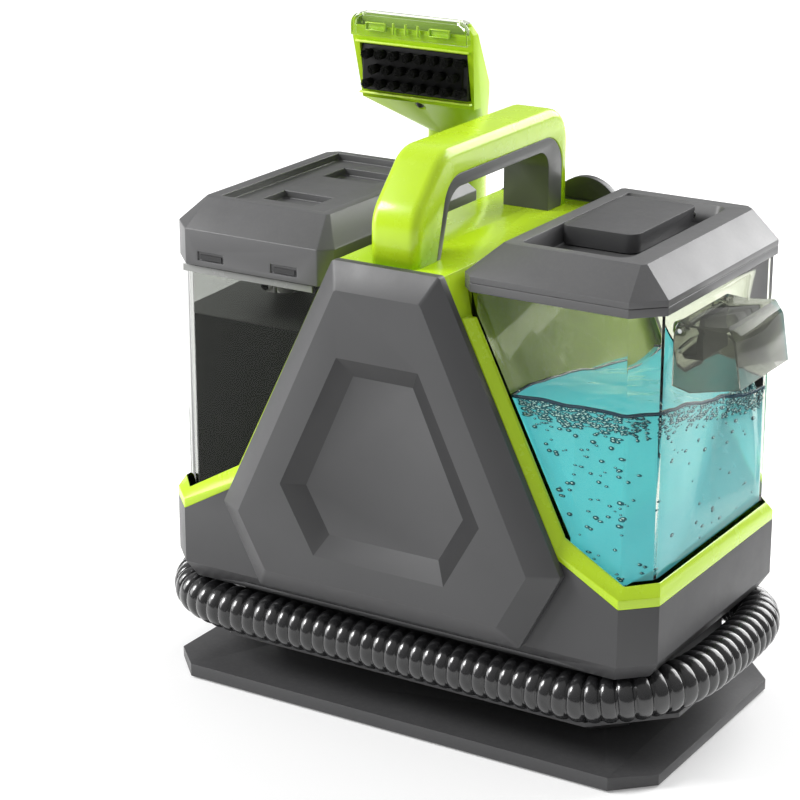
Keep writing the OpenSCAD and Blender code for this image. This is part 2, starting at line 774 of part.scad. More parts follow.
// Catmull-Rom point between b and c
function between(a, b, c, d, t) = 0.5 * ((2 * b) + (c - a) * t
    + (2 * a - 5 * b + 4 * c - d) * t * t + (3 * b - a - 3 * c + d) * t * t * t);
function smooth_route(p, k) = let(n = len(p)) concat(
    [for (i = [0 : n - 2]) for (j = [0 : k - 1])
        between(p[max(i - 1, 0)], p[i], p[i + 1], p[min(i + 2, n - 1)], j / k)], [p[n - 1]]);
// Mesh of a tube of radius r along path p: rings of n points, one upright, one level
module tube(p, r, n, first, last) {
    m = len(p);
    dir = [for (i = [0 : m - 1]) i == 0 ? first : i == m - 1 ? last : unit(p[i + 1] - p[i - 1])];
    side = [for (i = [0 : m - 1]) let(s = cross(dir[i], [0, 0, 1]))
        norm(s) > 0.3 ? unit(s) : unit(cross(dir[i], [1, 0, 0]) * -1)];
    rings = [for (i = [0 : m - 1]) let(u = cross(side[i], dir[i])) [for (j = [0 : n - 1])
        p[i] + r * (cos(360 * j / n) * side[i] + sin(360 * j / n) * u)]];
    swept(rings);
}
module hose() {
    color(black) tube(smooth_route(hose_route, 2), hose_d / 2, 12, [1, 0, 0], [0, 0, 1]);
}
module hose_port() {
    color("#2c2c2e") difference() {
        union() {
            bar([port_x, core_w / 2 - waist_wall, hose_z], [port_x, hose_y, hose_z], hose_d / 2);
            translate([port_x, hose_y, hose_z]) sphere(r = hose_d / 2);
            bar([port_x, hose_y, hose_z], [cuff_x, hose_y, hose_z], hose_d / 2);
        }
        bar([port_x, core_w / 2 - waist_wall - 1, hose_z], [port_x, hose_y, hose_z], hose_d / 2 - 4);
        bar([port_x, hose_y, hose_z], [cuff_x + 1, hose_y, hose_z], hose_d / 2 - 4);
    }
}
module machine_cuff() {
    color("#2c2c2e") difference() {
        bar([cuff_x, hose_y, hose_z], hose_start, cuff_d / 2 - 2);
        bar([cuff_x - 1, hose_y, hose_z], hose_start + [1, 0, 0], hose_d / 2 - 5);
    }
}
module wand_cuff() {
    color("#2c2c2e") difference() {
        bar(hose_end, [wand_x, wand_y, grip_z], cuff_d / 2);
        bar(hose_end - [0, 0, 1], [wand_x, wand_y, grip_z + 1], hose_d / 2 - 5);
    }
}

// ---- hand tool ----
trigger_z = grip_z + 96;
trigger_y = wand_y + grip_r + 3;
module at_wand(z) {
    translate([wand_x, wand_y, z]) children();
}
module wand_body() {
    flare_z = grip_z + 150;
    color(lime) difference() {
        union() {
            at_wand(grip_z) cylinder(r = grip_r, h = flare_z - 40 - grip_z);
            at_wand(flare_z - 40) cylinder(r1 = grip_r, r2 = neck_r, h = 40);
            at_wand(flare_z) cylinder(r = neck_r, h = neck_z - 0.3 - flare_z);
            at_wand(neck_z - 1) cylinder(r = neck_r - 4, h = 19);
            for (s = [-1, 1]) translate([wand_x + s * 6 - 2, wand_y + grip_r - 4, trigger_z - 5])
                cube([4, 12, 10]);
        }
        at_wand(grip_z - 1) cylinder(r = grip_r - 3, h = flare_z - 40 - grip_z + 1);
        at_wand(flare_z - 40 - eps) cylinder(r1 = grip_r - 3, r2 = neck_r - 7, h = 40 + 2 * eps);
        at_wand(flare_z) cylinder(r = neck_r - 7, h = neck_z);
        translate([wand_x - 12, trigger_y, trigger_z]) rotate([0, 90, 0])
            cylinder(r = 1.5 + run_clear, h = 24);
    }
}
module wand_trigger() {
    y = trigger_y - wand_y;
    color(black) translate([wand_x, wand_y, 0]) difference() {
        along(-3.6, 3.6) polygon(rounded([[y - 2, trigger_z + 4], [y - 1.6, trigger_z - 14],
            [y + 2, trigger_z - 62], [y + 8, trigger_z - 60], [y + 9, trigger_z - 14],
            [y + 4, trigger_z + 4]], [2, 0, 2, 2, 8, 3]));
        translate([-5, y, trigger_z]) rotate([0, 90, 0]) cylinder(r = 1.5 + run_clear, h = 10);
    }
}
module trigger_pin() {
    color(metal) translate([wand_x - 8, trigger_y, trigger_z]) rotate([0, 90, 0]) cylinder(r = 1.5, h = 16);
}
// The head's outer or inner form: a mouth, a heel and the neck
module head_form(in) {
    w = mouth_w / 2 - in;
    hull() {
        at_wand(neck_z + 5) cylinder(r = neck_r - in, h = 9 - in / 2, $fn = 32);
        translate([wand_x, 0, 0]) block([-w, head_y + 3 + in, mouth_z - 14 - in],
            [w, head_y + 10 - in, mouth_z - 9]);
        translate([wand_x, 0, 0]) block([-w + 6, head_y + 3 + in, mouth_z - 14],
            [w - 6, head_y + 10 - in, mouth_z - 2 + in]);
        translate([wand_x, 0, 0]) block([-w + 4, head_y + 12 + in, mouth_z - 66 + in],
            [w - 4, head_y + 22 - in, mouth_z - 60 + in]);
        translate([wand_x, 0, 0]) block([-w + 6, head_y + 34, mouth_z - 58 + in],
            [w - 6, head_y + 38 - in, mouth_z - 50]);
    }
}
module head_shell() {
    color(lime) difference() {
        union() {
            head_form(0);
            at_wand(neck_z) cylinder(r = neck_r, h = 14);
            across(head_y + 8, head_y + 10) translate([wand_x, 0]) mouth_outline(2.3);
        }
        head_form(2.5);
        at_wand(neck_z - 1) cylinder(r = neck_r - 3.8, h = 20);
        translate([wand_x, 0, 0]) block([-46.5, head_y - 2, mouth_z - 60], [46.5, head_y + 17.4, mouth_z - 24]);
        translate([wand_x - 48, head_y - 1, mouth_z - 10]) cube([96, 9, 20]);
        translate([wand_x - 48, head_y + 10, mouth_z - 10]) cube([96, 30, 20]);
        translate([wand_x, head_y + 16, mouth_z - 90]) cylinder(r = 4.1, h = 32);
    }
}
// Outline of the mouth from the front, inset all round
module mouth_outline(in) {
    w = mouth_w / 2 - 2.5 - in;
    top = mouth_z - in;
    polygon(rounded([[-w, mouth_z - 17], [w, mouth_z - 17], [w, top], [-w, top]], [0, 0, 9, 9]));
}
module nozzle_cover() {
    color(clear) translate([wand_x, 0, 0]) difference() {
        union() {
            across(head_y - 2, head_y + 2.8) mouth_outline(0);
            across(head_y - 2, head_y + 10) intersection() {
                mouth_outline(0);
                translate([-mouth_w, mouth_z - 1.7]) square(2 * mouth_w);
            }
        }
        across(head_y, head_y + 11) mouth_outline(2);
        block([-mouth_w, head_y, mouth_z - 18], [mouth_w, head_y + 3, mouth_z - 16]);
        block([-mouth_w / 2 + 12, head_y + 0.5, mouth_z - 3],
            [mouth_w / 2 - 12, head_y + 7.5, mouth_z + 1]);
    }
}
module brush_block() {
    color(black) translate([wand_x, 0, 0])
        block([-46, head_y + 7, mouth_z - 59.5], [46, head_y + 17, mouth_z - 24.5]);
}
module bristles() {
    pitch = 80 / (tufts - 1);
    color("#0e0e0f") for (row = [0 : tuft_rows - 1]) for (i = [0 : tufts - 1 - row % 2])
        translate([wand_x - 38 + (i + 0.5 * (row % 2)) * pitch, head_y + 7,
            mouth_z - 42 + (row - (tuft_rows - 1) / 2) * 22 / (tuft_rows - 1)])
        rotate([90, 0, 0]) cylinder(r = tuft_r, h = tuft_l, $fn = 24);
}
module spray_tip() {
    color(black) translate([wand_x, head_y + 16, mouth_z - 60]) {
        translate([0, 0, -7]) cylinder(r = 4, h = 7);
        translate([0, 0, -10]) cylinder(r1 = 2, r2 = 4, h = 3);
    }
}
module wand_holder() {
    y = half_w + rear_cover_t;
    z = [grip_z + 8, grip_z + 36];
    color("#46464a") difference() {
        union() {
            at_wand(z[0]) cylinder(r = grip_r + 5, h = z[1] - z[0]);
            block([wand_x - 10, y, z[0]], [wand_x + 26, wand_y - 8, z[1]]);
        }
        at_wand(z[0] - 1) cylinder(r = grip_r + touch, h = 40);
        at_wand(z[0] - 1) rotate(90) translate([0, -grip_r + 3, 0]) cube([40, 2 * grip_r - 6, 40]);
    }
}

// ---- tanks ----
// Outline of a tank from the front, inset by its wall, between two heights, with its
// sloping side ending at rim
module tank_profile(in, low, high, rim) {
    steep = in * 1.12;
    lean = (tank_foot_x - tank_side(clean_top_z)) / (clean_top_z - tank_foot_z);
    bend = min(high, tank_foot_z + (tank_foot_x - rim) / lean);
    polygon([[tank_foot_x + in, low], [tank_x - in, low], [tank_x - in, high],
        [tank_side(bend) + steep, high], [tank_side(bend) + steep, bend],
        [tank_foot_x + in, tank_foot_z + in * 0.4]]);
}
// The clear wall of a tank, drawn for the right
module tank_wall_shape(high, rim) {
    difference() {
        tank_solid(0, tank_z, high, rim);
        tank_solid(tank_wall, tank_z + tank_floor, high + 1, rim);
    }
}
module tank_solid(in, low, high, rim) {
    intersection() {
        across(-tank_y + in, tank_y - in) tank_profile(in, low, high, rim);
        x0 = max(rim, tank_side(clean_top_z)) + in;
        x1 = tank_x - in;
        y = tank_y - in;
        cut = tank_cut - in * 0.6;
        translate([0, 0, low - 1]) linear_extrude(high) polygon([[x0 + 8, -y], [x1 - cut, -y],
            [x1, -y + cut], [x1, y - cut], [x1 - cut, y], [x0 + 8, y], [x0, y - 8], [x0, -y + 8]]);
    }
}
module clean_tank() {
    color(clear) difference() {
        union() {
            tank_wall_shape(clean_top_z, 0);
            translate([valve_x, 0, tank_z - 8]) cylinder(r = 12, h = 9);
            for (y = [latch_front_y + 8, latch_rear_y - 12]) {
                block([tank_x - 1, y, latch_z - 6], [latch_x, y + 4, latch_z + 1]);
                translate([latch_x, y, latch_z]) rotate([-90, 0, 0]) cylinder(r = 2.9, h = 4);
            }
            block([tank_x - 1, latch_mid_y - 22, latch_z - 20], [tank_x + 3, latch_mid_y + 22, latch_z - 17]);
        }
        translate([valve_x, 0, tank_z - 9]) cylinder(r = valve_r + run_clear, h = 20);
        translate([latch_x, latch_front_y, latch_z]) rotate([-90, 0, 0])
            cylinder(r = latch_pin_r + 0.02, h = latch_w);
    }
}
module clean_water() {
    color("#2fb8cc") difference() {
        tank_solid(tank_wall + 0.2, tank_z + tank_floor, clean_level, 0);
        translate([valve_x, 0, tank_z]) cylinder(r = 13, h = valve_lift + valve_open + 8);
    }
}
module valve_plunger() {
    color(black) translate([valve_x, 0, 0]) {
        translate([0, 0, tank_z - 2.4 + valve_open]) cylinder(r = valve_r, h = 10);
        translate([0, 0, tank_z + tank_floor + valve_open]) cylinder(r = 10, h = 3);
    }
}
// Outline of a lid from above, drawn for the right, inset at its ends and sides, with
// its inner end at inner
module lid_outline(in_x, in_y, cut_out, cut_in, inner = lid_inner_x, in_back = undef) {
    x0 = inner + in_x;
    x1 = lid_x - in_x;
    y = lid_y - in_y;
    back = is_undef(in_back) ? y : lid_y - in_back;
    cut_back = is_undef(in_back) ? cut_out : cut_out + 4;
    polygon([[x0 + cut_in, -y], [x1 - cut_out, -y], [x1, -y + cut_out], [x1, back - cut_back],
        [x1 - cut_back, back], [x0 + cut_in, back], [x0, back - cut_in], [x0, -y + cut_in]]);
}
// A lid's outer form from height low to the flat top
module lid_form(low, inner, in_back) {
    translate([0, 0, low]) linear_extrude(lid_edge_z - low) lid_outline(0, 0, lid_cut, 9, inner);
    hull() {
        translate([0, 0, lid_edge_z]) linear_extrude(eps) lid_outline(0, 0, lid_cut, 9, inner);
        translate([0, 0, lid_z - eps]) linear_extrude(eps)
            lid_outline(lid_in_x, lid_in_y, 3, 2, lid_inner_x, in_back);
    }
}
module clean_collar() {
    color(grey) difference() {
        translate([0, 0, clean_top_z]) linear_extrude(collar_h) lid_outline(0, 0, lid_cut, 9);
        translate([0, 0, clean_top_z - 1]) linear_extrude(collar_h + 2)
            lid_outline(9, 9, body_cut - 4, 5);
    }
}
// The recess in the clean lid's top
module grip_recess() {
    x = [lid_inner_x + lid_in_x + 10, lid_x - lid_in_x - 16];
    y = [-lid_y + lid_in_y + 8, lid_y - lid_in_back - 11];
    hull() {
        translate([0, 0, lid_z - grip_depth]) linear_extrude(eps) polygon(rounded(
            [[x[0] + 1, y[0] + 6], [x[1] - 6, y[0] + 6], [x[1] - 6, y[1] - 4], [x[0] + 1, y[1] - 4]],
            [2, 6, 6, 2]));
        translate([0, 0, lid_z]) linear_extrude(1)
            polygon(rounded([[x[0], y[0]], [x[1], y[0]], [x[1], y[1]], [x[0], y[1]]], [3, 10, 10, 3]));
    }
}
cap_lugs = [cap_x - 14, cap_x + 14];
// Round bar of radius r on the cap's hinge axis, from x0 to x1
module on_cap_axis(x0, x1, r) {
    translate([x0, cap_hinge_y, cap_hinge_z]) rotate([0, 90, 0]) cylinder(r = r, h = x1 - x0);
}
module clean_lid() {
    low = clean_top_z + collar_h;
    floor_z = lid_z - grip_depth;
    color(grey) difference() {
        union() {
            difference() {
                lid_form(low + 0.3, lid_inner_x, lid_in_back);
                grip_recess();
                hull() {
                    translate([0, 0, low - 1]) linear_extrude(1) lid_outline(9, 9, body_cut - 4, 5);
                    translate([0, 0, floor_z - 3.5]) linear_extrude(0.5)
                        lid_outline(15, 17, 12, 5);
                }
            }
            for (x = cap_lugs) {
                block([x - 2, cap_hinge_y - 3, floor_z - 1], [x + 2, cap_hinge_y + 3, cap_hinge_z]);
                on_cap_axis(x - 2, x + 2, 3);
            }
        }
        translate([cap_x, cap_hinge_y - 46, floor_z - 6]) cylinder(r = filler_r, h = 10);
        on_cap_axis(cap_x - 30, cap_x + 30, cap_pin_r + 0.02);
    }
}
module clean_cap() {
    front = cap_hinge_y - 93;
    x = cap_half;
    top = lid_z + 0.6;
    low = lid_z - grip_depth + 1;
    color("#565657") difference() {
        union() {
            translate([cap_x, 0, low]) linear_extrude(top - low)
                polygon(rounded([[-x, front], [x, front], [x, cap_hinge_y - 8], [-x, cap_hinge_y - 8]],
                    [6, 9, 0, 0]));
            translate([cap_x, 0, top - 3]) linear_extrude(3)
                polygon(rounded([[-x, front + 20], [x, front + 20], [x, cap_hinge_y + 2.5],
                    [-x, cap_hinge_y + 2.5]], [0, 0, 5, 5]));
            for (ear = [cap_x - x + 1, cap_x + x - 6]) {
                block([ear, cap_hinge_y - 9, cap_hinge_z - 3], [ear + 5, cap_hinge_y, top - 1]);
                on_cap_axis(ear, ear + 5, 3);
            }
        }
        on_cap_axis(cap_x - 40, cap_x + 40, cap_pin_r + run_clear);
        block([cap_x - x + 3, front + 3, low - 1], [cap_x + x - 3, cap_hinge_y - 11, top - 3]);
    }
}
module cap_pin() {
    color(metal) on_cap_axis(cap_x - cap_half + 2, cap_x + cap_half - 2, cap_pin_r);
}
module tank_latch() {
    x = tank_x + latch_reach;
    low = latch_z - 40.5;
    top = latch_z + 6;
    color(smoky) difference() {
        across(latch_front_y, latch_rear_y) polygon([[latch_x - 1.5, top], [latch_x + 14, top - 1],
            [x - 11, top + 1.5], [x - 5, top - 7], [x, low + 8], [latch_x + 9, low],
            [latch_x - 4, low + 3], [latch_x - 4, latch_z - 4]]);
        across(latch_front_y + latch_wall, latch_rear_y - latch_wall) polygon([[0, low - 10],
            [0, latch_z + 3.2], [x - 12.5, latch_z + 3.2], [x - 7.5, top - 8], [x - 1.8, low + 8],
            [x - 1.5, low - 10]]);
        translate([latch_x, latch_front_y - 1, latch_z]) rotate([-90, 0, 0])
            cylinder(r = latch_pin_r + run_clear, h = latch_w + 2);
    }
}
module latch_hook() {
    color(black) across(latch_mid_y - 18, latch_mid_y + 18) polygon([[latch_x + 5, latch_z + 3.2],
        [latch_x + 5, latch_z - 21], [latch_x - 5, latch_z - 21], [latch_x - 3, latch_z - 24],
        [latch_x + 9, latch_z - 24], [latch_x + 9, latch_z + 3.2]]);
}
module latch_pin() {
    color(metal) translate([latch_x, latch_front_y + 0.5, latch_z]) rotate([-90, 0, 0])
        cylinder(r = latch_pin_r, h = latch_w - 1);
}

// ---- dirty tank, drawn on the left ----
pipe_x = -150;
pipe_y = 46;
ball_x = -150;
ball_y = -16;
ball_r = 13;
module left() {
    mirror([1, 0, 0]) children();
}
module dirty_tank() {
    color("#b9bdb9") difference() {
        left() tank_wall_shape(dirty_top_z, dirty_inner_x + 2.6);
        duct_frame() translate([0, 0, -5]) cylinder(r = pipe_r - 5, h = 20);
    }
}
module dirty_water() {
    color("#4d4f4e") difference() {
        left() tank_solid(tank_wall + 0.2, tank_z + tank_floor, dirty_level, 0);
        translate([pipe_x, pipe_y, tank_z]) cylinder(r = 13.5, h = tower_z);
        translate([ball_x, ball_y, cage_low - 3]) cylinder(r = ball_r + 6, h = tower_z);
        translate([ball_x, ball_y, tank_z]) cylinder(r = 4.2, h = tower_z);
    }
}
module dirty_lid() {
    inner = lid_z - 11;
    color(grey) difference() {
        left() lid_form(dirty_lid_z, dirty_inner_x, lid_in_y);
        left() translate([0, 0, dirty_lid_z - 1])
            linear_extrude(dirty_top_z + seal_h - dirty_lid_z + 1)
            lid_outline(lid_over - 0.9, lid_over - 1, body_cut - 1, 8, dirty_inner_x);
        left() hull() {
            translate([0, 0, dirty_top_z - 0.5]) linear_extrude(1)
                lid_outline(8, 8, 14, 5, dirty_inner_x);
            translate([0, 0, inner - 3]) linear_extrude(0.5) lid_outline(17, 20, 8, 5);
        }
        block([-lid_x + 30, -lid_y + 30, lid_z - 5.5], [-lid_inner_x - lid_in_x - 8, lid_y - 30, lid_z + 1]);
        block([-146, -50, inner], [-104, -22, lid_z]);
        block([-146, 28, inner], [-100, 58, lid_z]);
        for (x = clip_x) block([x - 11, -lid_y - 1, clip_z - 3.2], [x + 11, -lid_y + 1.4, clip_z + 3.2]);
    }
}
clip_x = [-153, -91];
clip_z = 326;
module dirty_clips() {
    color("#3c3c3e") for (x = clip_x)
        block([x - 9, -lid_y + 0.4, clip_z - 2.4], [x + 9, -lid_y + 1.4, clip_z + 1.2]);
}
module dirty_seal() {
    color(black) left() translate([0, 0, dirty_top_z]) linear_extrude(seal_h) difference() {
        lid_outline(lid_over - 0.5, lid_over - 0.5, body_cut - 1, 8, dirty_inner_x);
        lid_outline(7.5, 7.5, 16, 5, dirty_inner_x);
    }
}
module standpipe() {
    color(clear) translate([pipe_x, pipe_y, tank_z + tank_floor]) difference() {
        cylinder(r = 13, h = dirty_top_z - tank_z - 20);
        translate([0, 0, -1]) cylinder(r = 10.5, h = tower_z);
    }
}
cage_low = dirty_level - 8;
module float_cage() {
    top = lid_z - 15.7;
    ring = ball_r + 4;
    color("#e8eae8") translate([ball_x, ball_y, 0]) {
        difference() {
            translate([0, 0, cage_low]) cylinder(r = ring, h = 3);
            for (i = [0 : 3]) rotate(45 + 90 * i) translate([9, 0, cage_low - 1])
                cylinder(r = 3, h = 6);
        }
        translate([0, 0, tank_z + tank_floor]) cylinder(r = 4, h = cage_low - tank_z - tank_floor + 1);
        for (i = [0 : 3]) rotate(90 * i) translate([ring - 2.2, 0, cage_low + 1])
            cylinder(r = 1.5, h = top - cage_low - 2);
        difference() {
            translate([0, 0, top - 3]) cylinder(r = ring, h = 3);
            translate([0, 0, top - 4]) cylinder(r = 6, h = 6);
        }
    }
}
module float_ball() {
    color("#f2f2ee") translate([ball_x, ball_y, cage_low + 3 + 10]) {
        cylinder(r = ball_r - 0.5, h = 8);
        translate([0, 0, -10]) cylinder(r1 = 5, r2 = ball_r - 0.5, h = 10);
        translate([0, 0, 8]) cylinder(r1 = ball_r - 0.5, r2 = 5, h = 6);
    }
}

base_plate();
rubber_feet();
base_screws();
pedestal();
hose_core();
body_tub();
tower_shell();
trim_left();
trim_right();
front_cover();
rear_cover();
cover_screws();
handle();
handle_grip();
handle_screws();
vacuum_motor();
motor_mount();
fan_housing();
impeller();
suction_pipe();
pump();
water_pipe();
clean_dock();
dirty_dock();
control_board();
exhaust_grille();
power_inlet();
power_button();
cord_hook();
wand_holder();
hose_port();
machine_cuff();
hose();
wand_cuff();
wand_body();
wand_trigger();
trigger_pin();
head_shell();
nozzle_cover();
brush_block();
bristles();
spray_tip();
clean_tank();
clean_collar();
clean_water();
clean_lid();
clean_cap();
cap_pin();
tank_latch();
latch_hook();
latch_pin();
valve_plunger();
dirty_tank();
dirty_water();
dirty_lid();
dirty_seal();
dirty_clips();
standpipe();
float_ball();
float_cage();
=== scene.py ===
"""Looks of the portable spot extractor: camera, light, finishes, hose, water and bristles."""

import json
import math
import random

import bmesh
import bpy
from mathutils import Matrix, Vector, noise


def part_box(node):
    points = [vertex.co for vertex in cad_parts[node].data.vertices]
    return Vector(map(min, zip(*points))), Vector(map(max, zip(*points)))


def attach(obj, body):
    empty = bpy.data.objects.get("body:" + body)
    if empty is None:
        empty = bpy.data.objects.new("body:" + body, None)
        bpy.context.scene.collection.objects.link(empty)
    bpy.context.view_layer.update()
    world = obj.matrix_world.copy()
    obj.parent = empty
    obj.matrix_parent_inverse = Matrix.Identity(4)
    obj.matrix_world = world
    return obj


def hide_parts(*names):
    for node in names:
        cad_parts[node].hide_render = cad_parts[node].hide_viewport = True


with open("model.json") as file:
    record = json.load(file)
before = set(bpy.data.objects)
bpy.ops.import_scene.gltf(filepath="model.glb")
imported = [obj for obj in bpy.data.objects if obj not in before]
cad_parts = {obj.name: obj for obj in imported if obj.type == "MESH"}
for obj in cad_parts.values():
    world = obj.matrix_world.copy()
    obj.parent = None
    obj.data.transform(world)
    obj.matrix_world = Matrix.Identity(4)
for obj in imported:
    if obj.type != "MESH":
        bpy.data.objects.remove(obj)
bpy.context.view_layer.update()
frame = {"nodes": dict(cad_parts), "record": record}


MM = 0.001
BODY_OF = {n: b for b, nodes in frame["record"]["behaviour"]["bodies"].items() for n in nodes}

# ---------------------------------------------------------------- camera
AZIMUTH, ELEVATION = math.radians(31.66), math.radians(18.95)
TARGET = Vector((-0.06175, 0.0, 0.20581))
DISTANCE = 1.8345
LENS, SENSOR = 112.28, 36
NEAREST, FARTHEST = 0.05, 60

camera = bpy.data.objects.new("camera", bpy.data.cameras.new("camera"))
bpy.context.scene.collection.objects.link(camera)
away = Vector((math.sin(AZIMUTH) * math.cos(ELEVATION), -math.cos(AZIMUTH) * math.cos(ELEVATION),
               math.sin(ELEVATION)))
camera.location = TARGET + away * DISTANCE
camera.rotation_euler = (math.pi / 2 - ELEVATION, 0, AZIMUTH)
camera.data.lens = LENS
camera.data.sensor_width = SENSOR
camera.data.clip_start, camera.data.clip_end = NEAREST, FARTHEST
bpy.context.scene.camera = camera


# ---------------------------------------------------------------- meshes
def add_mesh(name, bm, smooth=True):
    """A new object from a bmesh, which is freed."""
    mesh = bpy.data.meshes.new(name)
    bm.normal_update()
    bm.to_mesh(mesh)
    bm.free()
    for poly in mesh.polygons:
        poly.use_smooth = smooth
    obj = bpy.data.objects.new(name, mesh)
    bpy.context.scene.collection.objects.link(obj)
    return obj


def node_bmesh(node):
    """The CAD node's mesh with its flat faces joined up again."""
    bm = bmesh.new()
    bm.from_mesh(frame["nodes"][node].data)
    bmesh.ops.remove_doubles(bm, verts=bm.verts, dist=2e-6)
    bmesh.ops.dissolve_limit(bm, angle_limit=math.radians(0.4), verts=bm.verts, edges=bm.edges)
    return bm


def finish_piece(obj, node, material, replace=True):
    """Gives a piece its material and body, and lets it stand for the CAD node."""
    obj.data.materials.clear()
    obj.data.materials.append(material)
    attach(obj, BODY_OF[node])
    if replace:
        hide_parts(node)
    return obj


ROUND_STEPS, SHARP_FROM = 3, math.radians(28)


def softened(node, material, width, miter="MITER_ARC"):
    """Stands for a CAD node with its edges rounded by width millimetres."""
    obj = add_mesh(node + ".soft", node_bmesh(node))
    bevel = obj.modifiers.new("round_edges", "BEVEL")
    bevel.width = width * MM
    bevel.segments = ROUND_STEPS
    bevel.limit_method = "ANGLE"
    bevel.angle_limit = SHARP_FROM
    bevel.harden_normals = True
    bevel.miter_outer = miter
    return finish_piece(obj, node, material)


def paint(material, *nodes):
    """Assigns a material to CAD nodes as they are."""
    for n in nodes:
        obj = frame["nodes"][n]
        obj.data.materials.clear()
        obj.data.materials.append(material)


def smooth_path(points, steps):
    """A Catmull-Rom line through points, with that many steps a span."""
    pts = [Vector(p) * MM for p in points]
    out = []
    for i in range(len(pts) - 1):
        a, b, c, d = pts[max(i - 1, 0)], pts[i], pts[i + 1], pts[min(i + 2, len(pts) - 1)]
        for j in range(steps):
            t = j / steps
            out.append(0.5 * ((2 * b) + (c - a) * t + (2 * a - 5 * b + 4 * c - d) * t * t
                              + (3 * b - a - 3 * c + d) * t * t * t))
    out.append(pts[-1])
    return out


def even_line(line, step):
    """The line again with points one step apart."""
    out, left = [line[0].copy()], step
    for a, b in zip(line, line[1:]):
        span = (b - a).length
        at = left
        while at <= span:
            out.append(a.lerp(b, at / span))
            at += step
        left = at - span
    return out


def ribbed_tube(name, line, radius_at, sides):
    """A tube along an evenly spaced line whose radius is radius_at(distance)."""
    bm = bmesh.new()
    step = (line[1] - line[0]).length
    tangent = (line[1] - line[0]).normalized()
    side = tangent.orthogonal().normalized()
    rings = []
    for i, p in enumerate(line):
        ahead = line[min(i + 1, len(line) - 1)] - line[max(i - 1, 0)]
        new = ahead.normalized()
        side = (tangent.rotation_difference(new) @ side)
        side = (side - new * side.dot(new)).normalized()
        tangent = new
        up = tangent.cross(side)
        r = radius_at(i * step)
        rings.append([bm.verts.new(p + r * (math.cos(2 * math.pi * k / sides) * side
                                            + math.sin(2 * math.pi * k / sides) * up))
                      for k in range(sides)])
    for a, b in zip(rings, rings[1:]):
        for k in range(sides):
            bm.faces.new((a[k], a[(k + 1) % sides], b[(k + 1) % sides], b[k]))
    bm.faces.new(list(reversed(rings[0])))
    bm.faces.new(rings[-1])
    return add_mesh(name, bm)


# ---------------------------------------------------------------- shader groups
def new_group(name, inputs, outputs):
    """An empty node group with named sockets: inputs are (name, type, default)."""
    tree = bpy.data.node_groups.new(name, "ShaderNodeTree")
    for title, kind, value in inputs:
        s = tree.interface.new_socket(title, in_out="INPUT", socket_type="NodeSocket" + kind)
        if value is not None:
            s.default_value = value
    for title, kind in outputs:
        tree.interface.new_socket(title, in_out="OUTPUT", socket_type="NodeSocket" + kind)
    return tree, tree.nodes.new("NodeGroupInput"), tree.nodes.new("NodeGroupOutput")


def node(tree, kind, settings=None, **inputs):
    """A node with its settings and inputs; an input is a value or another node's socket."""
    n = tree.nodes.new("ShaderNode" + kind)
    for k, v in (settings or {}).items():
        setattr(n, k, v)
    for k, v in inputs.items():
        key = int(k[1:]) if k[0] == "_" and k[1:].isdigit() else k.replace("_", " ")
        if isinstance(v, bpy.types.NodeSocket):
            tree.links.new(v, n.inputs[key])
        else:
            n.inputs[key].default_value = v
    return n


def grain_group():
    """Mottled colour and roughness with a fine moulded grain."""
    tree, gi, go = new_group("moulded_grain", [
        ("Color", "Color", (0.5, 0.5, 0.5, 1)), ("Mottle", "Float", 0.06),
        ("Roughness", "Float", 0.4), ("Roughness Spread", "Float", 0.06),
        ("Grain Scale", "Float", 1400.0), ("Grain Height", "Float", 0.03)],
        [("Color", "Color"), ("Roughness", "Float"), ("Normal", "Vector")])
    coords = node(tree, "TexCoord")
    at = coords.outputs["Object"]
    broad = node(tree, "TexNoise", Vector=at, Scale=9.0, Detail=4.0, Roughness=0.6)
    swing = node(tree, "MapRange", Value=broad.outputs["Fac"], From_Min=0.3, From_Max=0.7,
                 To_Min=-1.0, To_Max=1.0)
    amount = node(tree, "Math", {"operation": "MULTIPLY"}, _0=swing.outputs[0],
                  _1=gi.outputs["Mottle"])
    gain = node(tree, "Math", {"operation": "ADD"}, _0=amount.outputs[0], _1=1.0)
    tint = node(tree, "VectorMath", {"operation": "SCALE"}, _0=gi.outputs["Color"],
                Scale=gain.outputs[0])
    tree.links.new(tint.outputs[0], go.inputs["Color"])
    smears = node(tree, "TexNoise", Vector=at, Scale=38.0, Detail=5.0, Roughness=0.65)
    spread = node(tree, "MapRange", Value=smears.outputs["Fac"], From_Min=0.3, From_Max=0.7,
                  To_Min=-1.0, To_Max=1.0)
    more = node(tree, "Math", {"operation": "MULTIPLY_ADD"}, _0=spread.outputs[0],
                _1=gi.outputs["Roughness Spread"], _2=gi.outputs["Roughness"])
    tree.links.new(more.outputs[0], go.inputs["Roughness"])
    fine = node(tree, "TexNoise", Vector=at, Scale=gi.outputs["Grain Scale"], Detail=2.0)
    bump = node(tree, "Bump", Strength=gi.outputs["Grain Height"], Distance=0.0006,
                Height=fine.outputs["Fac"])
    tree.links.new(bump.outputs[0], go.inputs["Normal"])
    return tree


